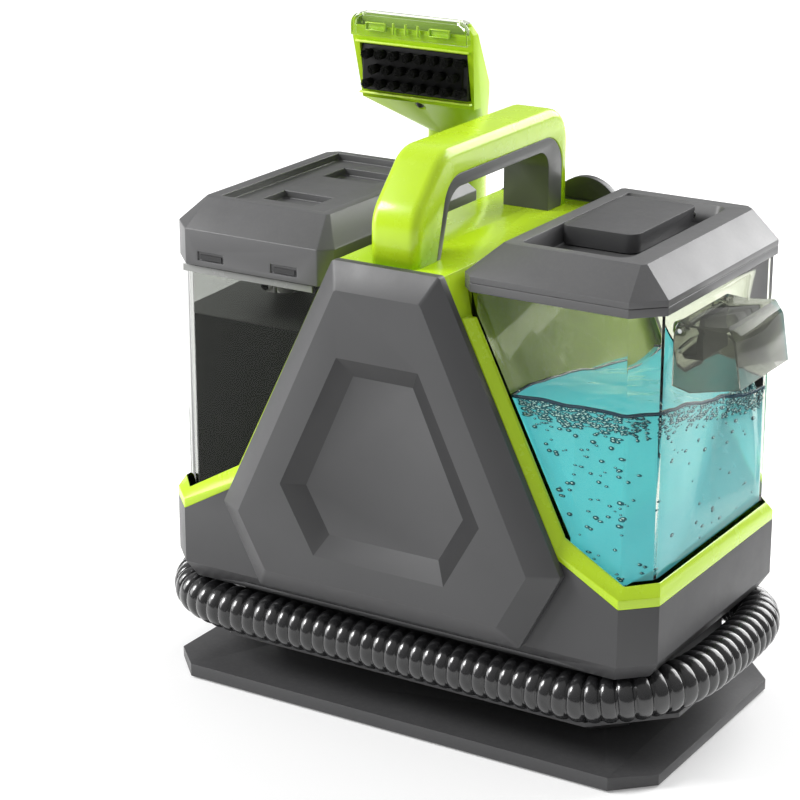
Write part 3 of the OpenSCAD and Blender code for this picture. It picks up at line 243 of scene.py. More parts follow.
def wear_and_highlight_group():
    """Lighter edges: partly wear that use has polished, partly a painted highlight."""
    tree, gi, go = new_group("worn_and_highlit_edges", [
        ("Color", "Color", (0.5, 0.5, 0.5, 1)), ("Edge Color", "Color", (0.8, 0.8, 0.8, 1)),
        ("Radius", "Float", 0.0012), ("Amount", "Float", 0.35)],
        [("Color", "Color"), ("Mask", "Float")])
    rounded = node(tree, "Bevel", {"samples": 4}, Radius=gi.outputs["Radius"])
    flat = node(tree, "NewGeometry")
    facing = node(tree, "VectorMath", {"operation": "DOT_PRODUCT"}, _0=rounded.outputs[0],
                  _1=flat.outputs["Normal"])
    edge = node(tree, "MapRange", Value=facing.outputs["Value"], From_Min=0.995, From_Max=0.9,
                To_Min=0.0, To_Max=1.0)
    coords = node(tree, "TexCoord")
    patch = node(tree, "TexNoise", Vector=coords.outputs["Object"], Scale=55.0, Detail=4.0)
    broken = node(tree, "MapRange", Value=patch.outputs["Fac"], From_Min=0.35, From_Max=0.65,
                  To_Min=0.2, To_Max=1.0)
    m1 = node(tree, "Math", {"operation": "MULTIPLY"}, _0=edge.outputs[0], _1=broken.outputs[0])
    m2 = node(tree, "Math", {"operation": "MULTIPLY"}, _0=m1.outputs[0], _1=gi.outputs["Amount"])
    mix = node(tree, "Mix", {"data_type": "RGBA"}, _0=m2.outputs[0])
    tree.links.new(gi.outputs["Color"], mix.inputs[6])
    tree.links.new(gi.outputs["Edge Color"], mix.inputs[7])
    tree.links.new(mix.outputs[2], go.inputs["Color"])
    tree.links.new(m2.outputs[0], go.inputs["Mask"])
    return tree


def dust_group():
    """A thin dust on faces that look up."""
    tree, gi, go = new_group("settled_dust", [
        ("Color", "Color", (0.5, 0.5, 0.5, 1)), ("Dust Color", "Color", (0.4, 0.39, 0.37, 1)),
        ("Amount", "Float", 0.06)], [("Color", "Color"), ("Mask", "Float")])
    flat = node(tree, "NewGeometry")
    split = node(tree, "SeparateXYZ", Vector=flat.outputs["Normal"])
    up = node(tree, "MapRange", Value=split.outputs["Z"], From_Min=0.3, From_Max=1.0)
    coords = node(tree, "TexCoord")
    specks = node(tree, "TexNoise", Vector=coords.outputs["Object"], Scale=320.0, Detail=6.0,
                  Roughness=0.7)
    sharp = node(tree, "MapRange", Value=specks.outputs["Fac"], From_Min=0.45, From_Max=0.75)
    m1 = node(tree, "Math", {"operation": "MULTIPLY"}, _0=up.outputs[0], _1=sharp.outputs[0])
    m2 = node(tree, "Math", {"operation": "MULTIPLY"}, _0=m1.outputs[0], _1=gi.outputs["Amount"])
    mix = node(tree, "Mix", {"data_type": "RGBA"}, _0=m2.outputs[0])
    tree.links.new(gi.outputs["Color"], mix.inputs[6])
    tree.links.new(gi.outputs["Dust Color"], mix.inputs[7])
    tree.links.new(mix.outputs[2], go.inputs["Color"])
    tree.links.new(m2.outputs[0], go.inputs["Mask"])
    return tree


GRAIN, EDGES, DUST = grain_group(), wear_and_highlight_group(), dust_group()
GRAIN_SCALE, FLOW_SCALE, FLOW_HEIGHT = 1400.0, 60.0, 0.015
SHADOW_SHARE = 0.9


def new_material(name):
    """A new material, its node tree and its shader."""
    m = bpy.data.materials.new(name)
    m.use_nodes = True
    shader = m.node_tree.nodes["Principled BSDF"]
    return m, m.node_tree, shader


def use_group(tree, group, **inputs):
    """Places a shader group in a tree, with values or sockets on its inputs."""
    g = tree.nodes.new("ShaderNodeGroup")
    g.node_tree = group
    for k, v in inputs.items():
        key = k.replace("_", " ")
        if isinstance(v, bpy.types.NodeSocket):
            tree.links.new(v, g.inputs[key])
        else:
            g.inputs[key].default_value = v
    return g


def plastic(name, color, roughness, edge=None, mottle=0.05, spread=0.05, grain=0.03,
            dust=0.05, coat=0.0, metallic=0.0, specular=0.5):
    """A moulded or painted finish made of grain, lighter edges (wear and a painted highlight) and
    dust.
    """
    m, tree, shader = new_material(name)
    base = (*color, 1)
    g = use_group(tree, GRAIN, Color=base, Mottle=mottle, Roughness=roughness,
                  Roughness_Spread=spread, Grain_Scale=GRAIN_SCALE, Grain_Height=grain)
    # The lighter edge colour is partly wear and partly a painted highlight.
    lighter = (*[min(1, c * 1.6 + 0.03) for c in color], 1) if edge is None else (*edge, 1)
    e = use_group(tree, EDGES, Color=g.outputs["Color"], Edge_Color=lighter)
    d = use_group(tree, DUST, Color=e.outputs["Color"], Amount=dust)
    tree.links.new(d.outputs["Color"], shader.inputs["Base Color"])
    tree.links.new(g.outputs["Roughness"], shader.inputs["Roughness"])
    tree.links.new(g.outputs["Normal"], shader.inputs["Normal"])
    shader.inputs["Metallic"].default_value = metallic
    shader.inputs["Coat Weight"].default_value = coat
    shader.inputs["Coat Roughness"].default_value = 0.08
    shader.inputs["Specular IOR Level"].default_value = specular
    return m


def clear_plastic(name, color, roughness=0.02, ior=1.49, spread=0.015, body=0.0, painted_glow=0.0):
    """See-through plastic or water with faint flow marks; body is its milky share, and the glow
    is painted light: an emission, though it is no lamp. Shadow and diffuse rays pass through, a
    little tinted."""
    m, tree, shader = new_material(name)
    g = use_group(tree, GRAIN, Color=(*color, 1), Mottle=0.02, Roughness=roughness,
                  Roughness_Spread=spread, Grain_Scale=FLOW_SCALE, Grain_Height=FLOW_HEIGHT)
    tree.links.new(g.outputs["Color"], shader.inputs["Base Color"])
    tree.links.new(g.outputs["Roughness"], shader.inputs["Roughness"])
    tree.links.new(g.outputs["Normal"], shader.inputs["Normal"])
    shader.inputs["Metallic"].default_value = 0.0
    shader.inputs["Transmission Weight"].default_value = 1.0 - body
    shader.inputs["IOR"].default_value = ior
    # Emission: painted light that the part seems to hold, though it is no lamp.
    tree.links.new(g.outputs["Color"], shader.inputs["Emission Color"])
    shader.inputs["Emission Strength"].default_value = painted_glow
    rays = node(tree, "LightPath")
    passing = node(tree, "Math", {"operation": "MAXIMUM"}, _0=rays.outputs["Is Shadow Ray"],
                   _1=rays.outputs["Is Diffuse Ray"])
    open_way = tree.nodes.new("ShaderNodeBsdfTransparent")
    open_way.inputs[0].default_value = (*[SHADOW_SHARE * (0.5 + 0.5 * c) for c in color], 1)
    mix = tree.nodes.new("ShaderNodeMixShader")
    tree.links.new(passing.outputs[0], mix.inputs[0])
    tree.links.new(shader.outputs[0], mix.inputs[1])
    tree.links.new(open_way.outputs[0], mix.inputs[2])
    tree.links.new(mix.outputs[0], tree.nodes["Material Output"].inputs["Surface"])
    return m


GREY = plastic("grey_plastic", (0.062, 0.062, 0.064), 0.40, specular=0.4)
GREY_COVER = plastic("grey_cover", (0.072, 0.072, 0.074), 0.42, specular=0.4)
# Two darker copies of the cover grey: painted shade for the walls of the covers' recesses.
GREY_RECESS_SHADE = plastic("grey_recess_painted_shade", (0.044, 0.044, 0.045), 0.45, specular=0.3)
GREY_RECESS_DEEP_SHADE = plastic("grey_recess_deep_painted_shade", (0.024, 0.024, 0.025), 0.5, specular=0.2)
GREY_LID = plastic("grey_lid", (0.098, 0.098, 0.10), 0.38)
GREY_CAP = plastic("grey_cap", (0.060, 0.060, 0.062), 0.38)
LIME = plastic("lime_plastic", (0.50, 0.74, 0.012), 0.26, edge=(0.7, 0.9, 0.1), coat=0.25,
               mottle=0.03, spread=0.04, grain=0.012)
LIME_HEAD = plastic("lime_head", (0.44, 0.66, 0.012), 0.34, edge=(0.62, 0.82, 0.06),
                    specular=0.15, mottle=0.03, spread=0.04, grain=0.012)
BLACK = plastic("black_plastic", (0.018, 0.018, 0.019), 0.42)
LINER = plastic("grip_liner", (0.075, 0.077, 0.075), 0.34)
RUBBER = plastic("black_rubber", (0.02, 0.02, 0.02), 0.65, grain=0.08)
STEEL = plastic("steel", (0.6, 0.6, 0.62), 0.3, metallic=1.0, grain=0.02)
WHITE = plastic("white_plastic", (0.78, 0.78, 0.75), 0.35)
BOARD = plastic("green_board", (0.03, 0.16, 0.06), 0.4)
BRISTLE = plastic("bristle_black", (0.004, 0.004, 0.004), 0.55, edge=(0.008, 0.008, 0.008),
                  dust=0.0, specular=0.15)
BLOCK = plastic("brush_block_grey", (0.014, 0.014, 0.015), 0.45, dust=0.0, specular=0.3)
LIME_BACK = plastic("lime_back", (0.30, 0.42, 0.10), 0.5, specular=0.1)
HOOK = plastic("hook_grey", (0.055, 0.055, 0.056), 0.4)
LIP = plastic("pale_lime_lip", (0.62, 0.85, 0.06), 0.25, edge=(0.8, 0.95, 0.2), coat=0.3,
              dust=0.0)
CLEAR = clear_plastic("clear_plastic", (0.76, 0.78, 0.69), ior=1.25)
MOUTH = clear_plastic("clear_mouth", (0.86, 0.92, 0.76), roughness=0.02, ior=1.2)
SMOKY = clear_plastic("smoky_plastic", (0.50, 0.51, 0.49), roughness=0.0, ior=1.15, spread=0.0)
SMOKY_LATCH = clear_plastic("smoky_latch", (0.30, 0.31, 0.27), roughness=0.0, ior=1.2,
                            spread=0.0, body=0.15)
# The water's glow is painted light from an emission.
WATER = clear_plastic("clean_water", (0.17, 0.74, 0.88), roughness=0.02, ior=1.10, body=0.42,
                      painted_glow=0.31)
# A dark line of painted shade along the edge of the water's surface.
WATERLINE_SHADE = plastic("water_edge_painted_shade", (0.002, 0.04, 0.08), 0.15, dust=0.0, edge=(0.004, 0.06, 0.10))
# Bubble rims: dark, painted shade at each bubble's edge.
BUBBLE_SHADE = plastic("bubble_rim_painted_shade", (0.004, 0.11, 0.15), 0.2, dust=0.0, edge=(0.008, 0.15, 0.2))
# Bubble glints: a painted highlight on each bubble.
PAINTED_GLINT = plastic("bubble_painted_glint", (0.55, 0.95, 0.95), 0.15, dust=0.0, edge=(0.7, 1.0, 1.0))
MURK = clear_plastic("dirty_water", (0.062, 0.063, 0.060), roughness=0.35, ior=1.1, body=1.0)
MURK_TOP = clear_plastic("dirty_water_top", (0.15, 0.155, 0.145), roughness=0.2, ior=1.33,
                         body=1.0)
RIM = plastic("pale_rim", (0.24, 0.245, 0.235), 0.25, dust=0.0)
HOSE = plastic("hose_plastic", (0.012, 0.012, 0.013), 0.22, grain=0.01, coat=0.6, dust=0.02)

# ---------------------------------------------------------------- hose
HOSE_Z = 60
END_RISE, RISE_FROM_X, RISE_TO_X = 7, 150, 206
LEVEL_ROUTE = [(-38, 106), (0, 106), (60, 106), (110, 106), (155, 102), (186, 87), (202, 61),
               (206, 30), (206, -10), (204, -40), (196, -67), (178, -90), (148, -103),
               (110, -105), (60, -105), (0, -105), (-60, -105), (-110, -105), (-150, -103),
               (-180, -92), (-199, -69), (-205, -40), (-205, 0), (-203, 45), (-200, 90),
               (-186, 127)]
RISE_ROUTE = [(-155, 147, 63), (-123, 148, 80), (-104, 148, 104), (-101, 148, 120)]
HOSE_ROUTE = [(x, y, HOSE_Z + END_RISE * max(0, (x - RISE_FROM_X) / (RISE_TO_X - RISE_FROM_X)))
              for x, y in LEVEL_ROUTE] + RISE_ROUTE
RIB_PITCH = 10.2 * MM
RIB_STEPS = 12
CURVE_STEPS, HOSE_SIDES = 12, 36
HOSE_R = 17 * MM
GROOVE_R = 13.4 * MM


def rib_radius(s):
    """Radius of the hose at distance s: round ribs with narrow grooves."""
    t = (s / RIB_PITCH) % 1.0
    return GROOVE_R + (HOSE_R - GROOVE_R) * math.sqrt(max(0.0, 1 - (2 * t - 1) ** 2)) ** 0.9


hose_line = even_line(smooth_path(HOSE_ROUTE, CURVE_STEPS), RIB_PITCH / RIB_STEPS)
hose = ribbed_tube("hose.ribbed", hose_line, rib_radius, HOSE_SIDES)
finish_piece(hose, "hose", HOSE)

# ---------------------------------------------------------------- hard parts
for name, width in {"base_plate": 1.2, "pedestal": 1, "hose_core": 1, "body_tub": 1.6,
                    "wand_holder": 1}.items():
    softened(name, GREY, width)
# Where a cover's recess walls lie: below its top, above its foot and inside its slanting sides
RECESS_ABOVE, RECESS_BELOW = 30 * MM, 45 * MM
RECESS_HALF, RECESS_HALF_TOP, SIDE_LEAN = 90 * MM, 20 * MM, 0.476


def paint_recess_shade(cover, lo, hi):
    """Paints shade into a cover's recess walls with two darker greys, darkest on walls that face
    left; walls that look up keep the cover's grey.
    """
    cover.data.materials.append(GREY_RECESS_SHADE)
    cover.data.materials.append(GREY_RECESS_DEEP_SHADE)
    for face in cover.data.polygons:
        spot, out = face.center, face.normal
        reach = min(RECESS_HALF, RECESS_HALF_TOP + SIDE_LEAN * (hi[2] - spot.z))
        inside = lo[2] + RECESS_ABOVE < spot.z < hi[2] - RECESS_BELOW and abs(spot.x) < reach
        sloping = 0.3 < abs(out.y) < 0.9 and out.z < 0.3
        if inside and (sloping or abs(out.y) <= 0.3):
            face.material_index = 2 if out.x < -0.2 else 1


for name in ("front_cover", "rear_cover"):
    paint_recess_shade(softened(name, GREY_COVER, 1.6), *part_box(name))
for name, width in {"clean_collar": 0.7, "clean_lid": 1.1, "dirty_lid": 1.1}.items():
    softened(name, GREY_LID, width, miter="MITER_SHARP")
softened("clean_cap", GREY_CAP, 1.2)
softened("cord_hook", HOOK, 1.2)
for name, width in {"tower_shell": 2.0, "trim_left": 0.8, "trim_right": 0.8,
                    "wand_body": 0.6}.items():
    softened(name, LIME, width)
softened("head_shell", LIME_HEAD, 1.2)
softened("handle_grip", LINER, 2.0)
softened("clean_tank", CLEAR, 0.5, miter="MITER_SHARP")
softened("dirty_tank", SMOKY, 0.5, miter="MITER_SHARP")
softened("nozzle_cover", MOUTH, 0.8)
softened("tank_latch", SMOKY_LATCH, 1.0)
softened("brush_block", BLOCK, 1.0)
paint(BLACK, "fan_housing", "suction_pipe", "pump", "hose_port", "machine_cuff", "wand_cuff",
      "exhaust_grille", "power_inlet", "power_button", "wand_trigger",
      "spray_tip", "latch_hook", "dirty_clips", "clean_dock")
paint(RUBBER, "rubber_feet", "dirty_dock", "dirty_seal", "valve_plunger")
paint(STEEL, "base_screws", "cover_screws", "handle_screws", "vacuum_motor", "motor_mount",
      "impeller", "trigger_pin", "cap_pin", "latch_pin")
paint(WHITE, "float_ball", "float_cage", "standpipe")
paint(BOARD, "control_board")
paint(CLEAR, "water_pipe")
paint(MURK, "dirty_water")


# ---------------------------------------------------------------- handle
HANDLE_ROUND, HANDLE_INNER_ROUND = 7.0, 1.2
HANDLE_END = 0.2 * MM


def rounded_handle():
    """The carrying handle with broad soft edges outside and narrow ones in its opening."""
    bm = node_bmesh("handle")
    lo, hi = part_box("handle")
    side, foot, middle = hi[0] - HANDLE_END, lo[2] + HANDLE_END, (lo[1] + hi[1]) / 2

    def long_edges(outer):
        found = []
        for e in bm.edges:
            a, b = e.verts[0].co, e.verts[1].co
            if min(abs(a.x), abs(b.x)) < side or a.x * b.x < 0 or max(a.z, b.z) < foot:
                continue
            if len(e.link_faces) != 2 or e.calc_face_angle(0) < math.radians(50):
                continue
            strip = [f for f in e.link_faces if abs(f.normal.x) < 0.5]
            if not strip:
                continue
            mid = (a + b) / 2
            away_y = (mid.y - middle) * strip[0].normal.y
            faces_out = strip[0].normal.z > 0.3 or (abs(strip[0].normal.z) <= 0.3 and away_y > 0)
            if faces_out == outer:
                found.append(e)
        return found

    for outer, width, steps in ((True, HANDLE_ROUND, 7), (False, HANDLE_INNER_ROUND, 3)):
        bmesh.ops.bevel(bm, geom=long_edges(outer), offset=width * MM, offset_type="OFFSET",
                        segments=steps, profile=0.5, affect="EDGES", clamp_overlap=False)
    finish_piece(add_mesh("handle.round", bm), "handle", LIME)


rounded_handle()


# ---------------------------------------------------------------- tool head details
def box_piece(name, lo, hi, material, body, soft=0.3):
    """A small block with rounded edges, riding on a body."""
    bm = bmesh.new()
    size = Vector(hi) - Vector(lo)
    centre = (Vector(hi) + Vector(lo)) / 2
    bmesh.ops.create_cube(bm, size=1,
                          matrix=Matrix.Translation(centre) @ Matrix.Diagonal((*size, 1)))
    bmesh.ops.bevel(bm, geom=bm.edges[:], offset=min(soft * MM, min(size) * 0.4), segments=2,
                    profile=0.5, affect="EDGES")
    obj = add_mesh(name, bm)
    obj.data.materials.append(material)
    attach(obj, body)


block_lo, block_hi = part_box("brush_block")
mid_x = (block_lo[0] + block_hi[0]) / 2
front_y = block_lo[1]
box_piece("head.lip_top", (block_lo[0] - 3 * MM, front_y - 5 * MM, block_hi[2] + 1.5 * MM),
          (block_hi[0] + 3 * MM, front_y, block_hi[2] + 3 * MM), LIP, "tool_head")
box_piece("head.lip_low", (block_lo[0] - 2 * MM, front_y - 1 * MM, block_lo[2] - 2.8 * MM),
          (block_hi[0] + 2 * MM, front_y + 3 * MM, block_lo[2] - 1.3 * MM), LIP, "tool_head")
box_piece("brush.bed", (block_lo[0] + 1.5 * MM, front_y - 1.2 * MM, block_lo[2] + 2.5 * MM),
          (block_hi[0] - 4 * MM, front_y + 1 * MM, block_hi[2] - 4 * MM), BRISTLE, "tool_head", 5)

mouth_lo, mouth_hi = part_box("nozzle_cover")
window_z = (mouth_hi[2] - 14.5 * MM, mouth_hi[2] - 6 * MM)
box_piece("head.back", (mid_x - 46 * MM, mouth_lo[1] + 10.6 * MM, mouth_lo[2] - 3 * MM),
          (mid_x + 46 * MM, mouth_lo[1] + 11.8 * MM, mouth_hi[2] - 2.6 * MM), LIME_BACK,
          "tool_head")
RIB_GAP, RIB_HALF, RIB_SHIFT = 10.5, 0.6 * MM, -4
WINDOW_PLACES, WINDOW_HALF, FRAME_BAR = (-30 * MM, 25 * MM), 8.5 * MM, 0.7 * MM
behind = mouth_lo[1] + 2.1 * MM
for rib in (-1, 0, 1):
    x = mid_x + (rib * RIB_GAP + RIB_SHIFT) * MM
    box_piece("head.rib%d" % (rib + 2), (x - RIB_HALF, behind, window_z[0]),
              (x + RIB_HALF, mouth_lo[1] + 4 * MM, window_z[1]), LIP, "tool_head")
for k, place in enumerate(WINDOW_PLACES):
    x, half, bar = mid_x + place, WINDOW_HALF, FRAME_BAR
    y0, y1 = behind, mouth_lo[1] + 3.6 * MM
    z0, z1 = window_z[0] + 1.5 * MM, window_z[1] - 1.0 * MM
    bars = [((x - half, y0, z0), (x + half, y1, z0 + bar)),
            ((x - half, y0, z1 - bar), (x + half, y1, z1)),
            ((x - half, y0, z0), (x - half + bar, y1, z1)),
            ((x + half - bar, y0, z0), (x + half, y1, z1))]
    for i, (lo, hi) in enumerate(bars):
        box_piece("head.window%d.%d" % (k, i), lo, hi, LIP, "tool_head")
    box_piece("head.pane%d" % k, (x - half, y1, z0), (x + half, y1 + MM, z1), LIME, "tool_head")


FILAMENTS, GOLDEN_ANGLE, FILAMENT_R = 60, 2.39996, 0.42 * MM
ROOT_SPREAD, TIP_SIZE, FILAMENT_SIDES = 0.85, 0.75, 5


def bristle_tufts():
    """Tufts of fine filaments in place of the plain tufts."""
    rng = random.Random(7)
    sides = FILAMENT_SIDES
    bm, source = bmesh.new(), bmesh.new()
    source.from_mesh(frame["nodes"]["bristles"].data)
    bmesh.ops.remove_doubles(source, verts=source.verts, dist=2e-6)
    seen, centres = set(), []
    for v in source.verts:
        if v in seen:
            continue
        stack, part = [v], []
        while stack:
            w = stack.pop()
            if w in seen:
                continue
            seen.add(w)
            part.append(w.co.copy())
            stack.extend(e.other_vert(w) for e in w.link_edges)
        xs, ys, zs = ([c[i] for c in part] for i in range(3))
        centres.append(((min(xs) + max(xs)) / 2, min(ys), max(ys), (min(zs) + max(zs)) / 2,
                        (max(xs) - min(xs)) / 2))
    source.free()
    for x, y0, y1, z, r in centres:
        for i in range(FILAMENTS):
            turn = i * GOLDEN_ANGLE
            reach = (r - FILAMENT_R) * math.sqrt((i + 0.5) / FILAMENTS)
            lean = 1 + rng.uniform(-0.06, 0.10)
            root = Vector((x + ROOT_SPREAD * reach * math.cos(turn), y1,
                           z + ROOT_SPREAD * reach * math.sin(turn)))
            tip = Vector((x + reach * lean * math.cos(turn), y0 + rng.uniform(0, 1.2) * MM,
                          z + reach * lean * math.sin(turn)))
            rings = []
            for p, size in ((root, 1.0), (tip, TIP_SIZE)):
                rings.append([bm.verts.new(p + Vector((math.cos(2 * math.pi * k / sides), 0,
                                                       math.sin(2 * math.pi * k / sides)))
                                           * FILAMENT_R * size) for k in range(sides)])
            for k in range(sides):
                after = (k + 1) % sides
                bm.faces.new((rings[0][k], rings[0][after], rings[1][after], rings[1][k]))
            bm.faces.new(rings[1])
    bmesh.ops.recalc_face_normals(bm, faces=bm.faces)
    finish_piece(add_mesh("bristles.tufts", bm), "bristles", BRISTLE)


bristle_tufts()


# ---------------------------------------------------------------- water
water_lo, water_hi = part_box("clean_water")
RIPPLE_H, DIP, WAVE_STEP, EDGE_R = 1.8, 30, 3, 1.3
FOAM, LOOSE = 800, 150
FACET, FRONT_SHARE = 16, 0.55
FLAT_WITHIN = 0.1 * MM
WATER_IN_TOP = min(v.co.x for v in frame["nodes"]["clean_water"].data.vertices
                   if v.co.z > water_hi[2] - MM)
WATER_IN_LOW = max(v.co.x for v in frame["nodes"]["clean_water"].data.vertices
                   if v.co.z < water_lo[2] + 90 * MM and v.co.x < (water_lo[0] + water_hi[0]) / 2
                   and abs(v.co.y) > 50 * MM)
WATER_BEND_Z = water_lo[2] + 70 * MM


def inside_x(z):
    """The clean water's inner side at height z, following its slope."""
    t = max(0.0, (z - WATER_BEND_Z) / (water_hi[2] - WATER_BEND_Z))
    return WATER_IN_LOW + (WATER_IN_TOP - WATER_IN_LOW) * t if t else WATER_IN_LOW


def level_at(x, y):
    """Height of the wavy water surface at a place, lower towards the back."""
    t = (y - water_lo[1]) / (water_hi[1] - water_lo[1])
    wave = noise.noise(Vector((x, y, 0)) * 30) + 0.5 * noise.noise(Vector((x, y, 0.1)) * 75)
    return water_hi[2] - DIP * MM * t * t * (3 - 2 * t) + RIPPLE_H * MM * wave


def water_body():
    """The clean water with a wavy top, and a painted dark line of shade round its surface."""
    bm = node_bmesh("clean_water")
    for axis, normal in ((0, (1, 0, 0)), (1, (0, 1, 0))):
        place = water_lo[axis] + WAVE_STEP * MM
        while place < water_hi[axis] - MM:
            point = Vector((0, 0, 0))
            point[axis] = place
            bmesh.ops.bisect_plane(bm, geom=bm.verts[:] + bm.edges[:] + bm.faces[:], dist=1e-6,
                                   plane_co=point, plane_no=normal)
            place += WAVE_STEP * MM
    top = water_hi[2] - FLAT_WITHIN
    top_faces = {f for f in bm.faces if all(v.co.z > top for v in f.verts)}
    rim = [e for e in bm.edges if sum(f in top_faces for f in e.link_faces) == 1]
    top_verts = {v for f in top_faces for v in f.verts}
    for v in bm.verts:
        level = level_at(v.co.x, v.co.y)
        if v in top_verts or v.co.z > level:
            on_slope = v.co.x < inside_x(v.co.z) + 0.3 * MM
            v.co.z = level
            if on_slope:
                v.co.x = inside_x(level)
    line, used = [rim[0].verts[0].co.copy()], {rim[0]}
    at = rim[0].verts[1]
    while at:
        line.append(at.co.copy())
        step = next((e for e in at.link_edges if e in rim and e not in used), None)
        used.add(step)
        at = step.other_vert(at) if step else None
    body = add_mesh("clean_water.wavy", bm)
    finish_piece(body, "clean_water", WATER)
    # A thin dark tube: painted shade along the rim of the water's surface.
    edge = ribbed_tube("clean_water.edge", even_line(line, 2 * MM), lambda s: EDGE_R * MM, 8)
    finish_piece(edge, "clean_water", WATERLINE_SHADE, replace=False)


def bubbles():
    """Bubbles at the water's front and side, each a dark rim of painted shade with a painted
    highlight: a band of foam below its surface, then loose ones.
    """
    rng = random.Random(21)
    shaded_rims, painted_glints = bmesh.new(), bmesh.new()
    out_x, front = water_hi[0], water_lo[1]
    for i in range(FOAM + LOOSE):
        foam = i < FOAM
        depth = rng.uniform(1, 9 + 9 * rng.random()) if foam else 17 + 110 * rng.random() ** 1.7
        r = (rng.uniform(0.6, 1.5) if foam else rng.uniform(0.7, 2.1)) * MM
        wide, tall = rng.uniform(1.1, 2.6 if foam else 1.5), rng.uniform(0.5, 0.8)
        if rng.random() < FRONT_SHARE:
            x = rng.uniform(inside_x(water_hi[2] - depth * MM) + 5 * MM, out_x - 4 * MM)
            y, size = front - 0.3 * MM + max(0, x - out_x + FACET * MM), (wide, 0.5, tall)
        else:
            y = rng.uniform(front + FACET * MM, water_hi[1] - FACET * MM)
            x, size = out_x + 0.3 * MM, (0.5, wide, tall)
        place = Vector((x, y, level_at(x, y) - depth * MM))
        bmesh.ops.create_icosphere(shaded_rims, subdivisions=2, radius=r,
                                   matrix=Matrix.Translation(place) @ Matrix.Diagonal((*size, 1)))
        # The smaller sphere is a painted highlight, set up and forward on each bubble.
        ahead = Vector((0, -0.3, 0.12)) if size[0] > 0.5 else Vector((0.3, 0, 0.12))
        bmesh.ops.create_icosphere(painted_glints, subdivisions=1, radius=0.5 * r,
                                   matrix=Matrix.Translation(place + ahead * r)
                                   @ Matrix.Diagonal((*size, 1)))
    for name, bm, material in (("shaded_rims", shaded_rims, BUBBLE_SHADE), ("painted_glints", painted_glints, PAINTED_GLINT)):
        obj = add_mesh("clean_water." + name, bm)
        finish_piece(obj, "clean_water", material, replace=False)


water_body()
bubbles()


SHEET_LIFT = 0.4 * MM


def dirty_surface():
    """A pale sheet on top of the dirty water."""
    bm = node_bmesh("dirty_water")
    top = max(v.co.z for v in bm.verts) - FLAT_WITHIN
    low = [f for f in bm.faces if not all(v.co.z > top for v in f.verts)]
    bmesh.ops.delete(bm, geom=low, context="FACES")
    for v in bm.verts:
        v.co.z += SHEET_LIFT
    finish_piece(add_mesh("dirty_water.surface", bm), "dirty_water", MURK_TOP, replace=False)


dirty_surface()
rim_lo, rim_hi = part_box("dirty_tank")
skirt_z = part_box("dirty_lid")[0][2]
RIM_H, CORNER = 6 * MM, 12 * MM
box_piece("dirty_tank.rim_front", (rim_lo[0] + CORNER, rim_lo[1] - 0.7 * MM, skirt_z - RIM_H),
          (rim_hi[0] - CORNER, rim_lo[1] + 0.5 * MM, skirt_z - MM), RIM, BODY_OF["dirty_tank"])


# ---------------------------------------------------------------- light and floor
FLOOR_SIZE, FLOOR_GREY, FLOOR_GLOW = 12, (0.8, 0.8, 0.8), 0.24
SKY_LOW, SKY_HIGH = 0.22, 0.55


def floor_material():
    """A pale matt floor that looks white to the camera and keeps the object's shadow."""
    m, tree, shader = new_material("pale_floor")
    rays = node(tree, "LightPath")
    seen = node(tree, "Math", {"operation": "MAXIMUM"}, _0=rays.outputs["Is Camera Ray"],
                _1=rays.outputs["Is Glossy Ray"])
    both = node(tree, "Math", {"operation": "MAXIMUM"}, _0=seen.outputs[0],
                _1=rays.outputs["Is Transmission Ray"])
    level = node(tree, "Math", {"operation": "MULTIPLY"}, _0=both.outputs[0], _1=FLOOR_GLOW)
    shader.inputs["Base Color"].default_value = (*FLOOR_GREY, 1)
    shader.inputs["Roughness"].default_value = 0.6
    shader.inputs["Specular IOR Level"].default_value = 0.2
    shader.inputs["Emission Color"].default_value = (1, 1, 1, 1)
    tree.links.new(level.outputs[0], shader.inputs["Emission Strength"])
    return m


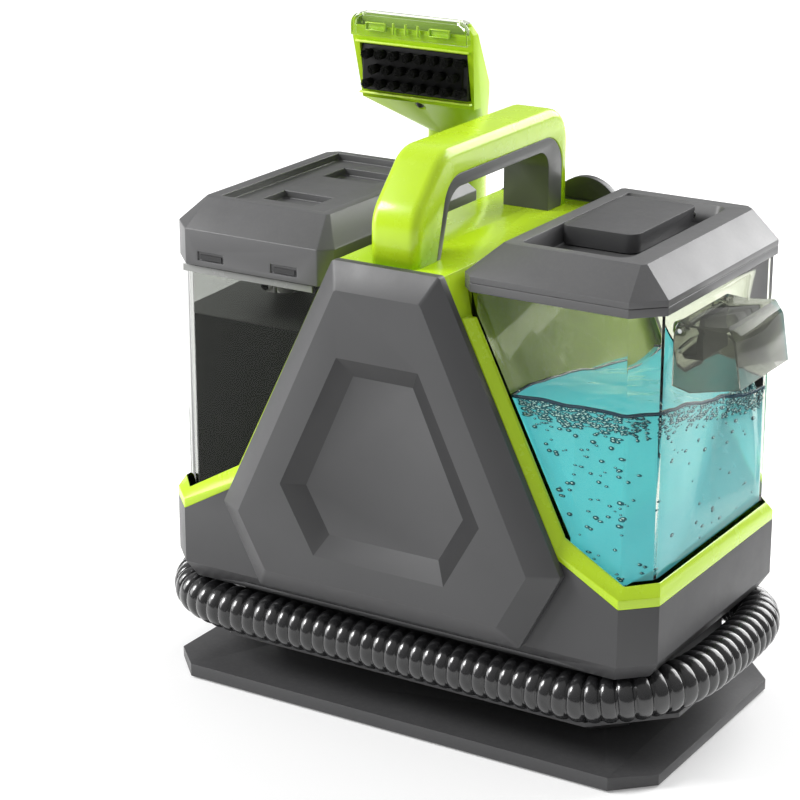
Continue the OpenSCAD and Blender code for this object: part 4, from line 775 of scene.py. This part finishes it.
bm = bmesh.new()
bmesh.ops.create_grid(bm, x_segments=1, y_segments=1, size=FLOOR_SIZE)
floor = add_mesh("floor", bm, smooth=False)
floor.data.materials.append(floor_material())


def build_world():
    """A soft studio sky, brighter above, that looks plain white where it is seen."""
    world = bpy.data.worlds.new("studio")
    bpy.context.scene.world = world
    world.use_nodes = True
    tree = world.node_tree
    back = tree.nodes["Background"]
    rays = node(tree, "LightPath")
    coords = node(tree, "TexCoord")
    split = node(tree, "SeparateXYZ", Vector=coords.outputs["Generated"])
    up = node(tree, "MapRange", Value=split.outputs["Z"], From_Min=-0.1, From_Max=0.9,
              To_Min=SKY_LOW, To_Max=SKY_HIGH)
    seen = node(tree, "Math", {"operation": "MAXIMUM"}, _0=rays.outputs["Is Camera Ray"],
                _1=rays.outputs["Is Transmission Ray"])
    level = node(tree, "Mix", {"data_type": "FLOAT"}, _0=seen.outputs[0], _3=1.0)
    tree.links.new(up.outputs[0], level.inputs[2])
    back.inputs["Color"].default_value = (1, 1, 1, 1)
    tree.links.new(level.outputs[0], back.inputs["Strength"])


build_world()


def area_light(name, place, target, size, power):
    """A square soft box at a place, turned to its target."""
    data = bpy.data.lights.new(name, "AREA")
    data.shape = "RECTANGLE"
    data.size = data.size_y = size
    data.energy = power
    obj = bpy.data.objects.new(name, data)
    bpy.context.scene.collection.objects.link(obj)
    obj.location = place
    obj.rotation_euler = (Vector(target) - Vector(place)).to_track_quat("-Z", "Y").to_euler()


def sun_light(name, direction, strength, angle):
    """A broad sun that shines along a direction; its angle is in degrees."""
    data = bpy.data.lights.new(name, "SUN")
    data.energy = strength
    data.angle = math.radians(angle)
    obj = bpy.data.objects.new(name, data)
    bpy.context.scene.collection.objects.link(obj)
    obj.rotation_euler = Vector(direction).to_track_quat("-Z", "Y").to_euler()


sun_light("key", (0.68, 0.44, -0.62), 2.2, 20)
area_light("left_box", (-1.9, -0.9, 0.9), (0, 0, 0.25), 1.2, 22)
area_light("rear_box", (0.85, 2.2, 1.55), (0.1, 0, 0.33), 2.4, 100)

scene = bpy.context.scene
scene.view_settings.view_transform = "Standard"
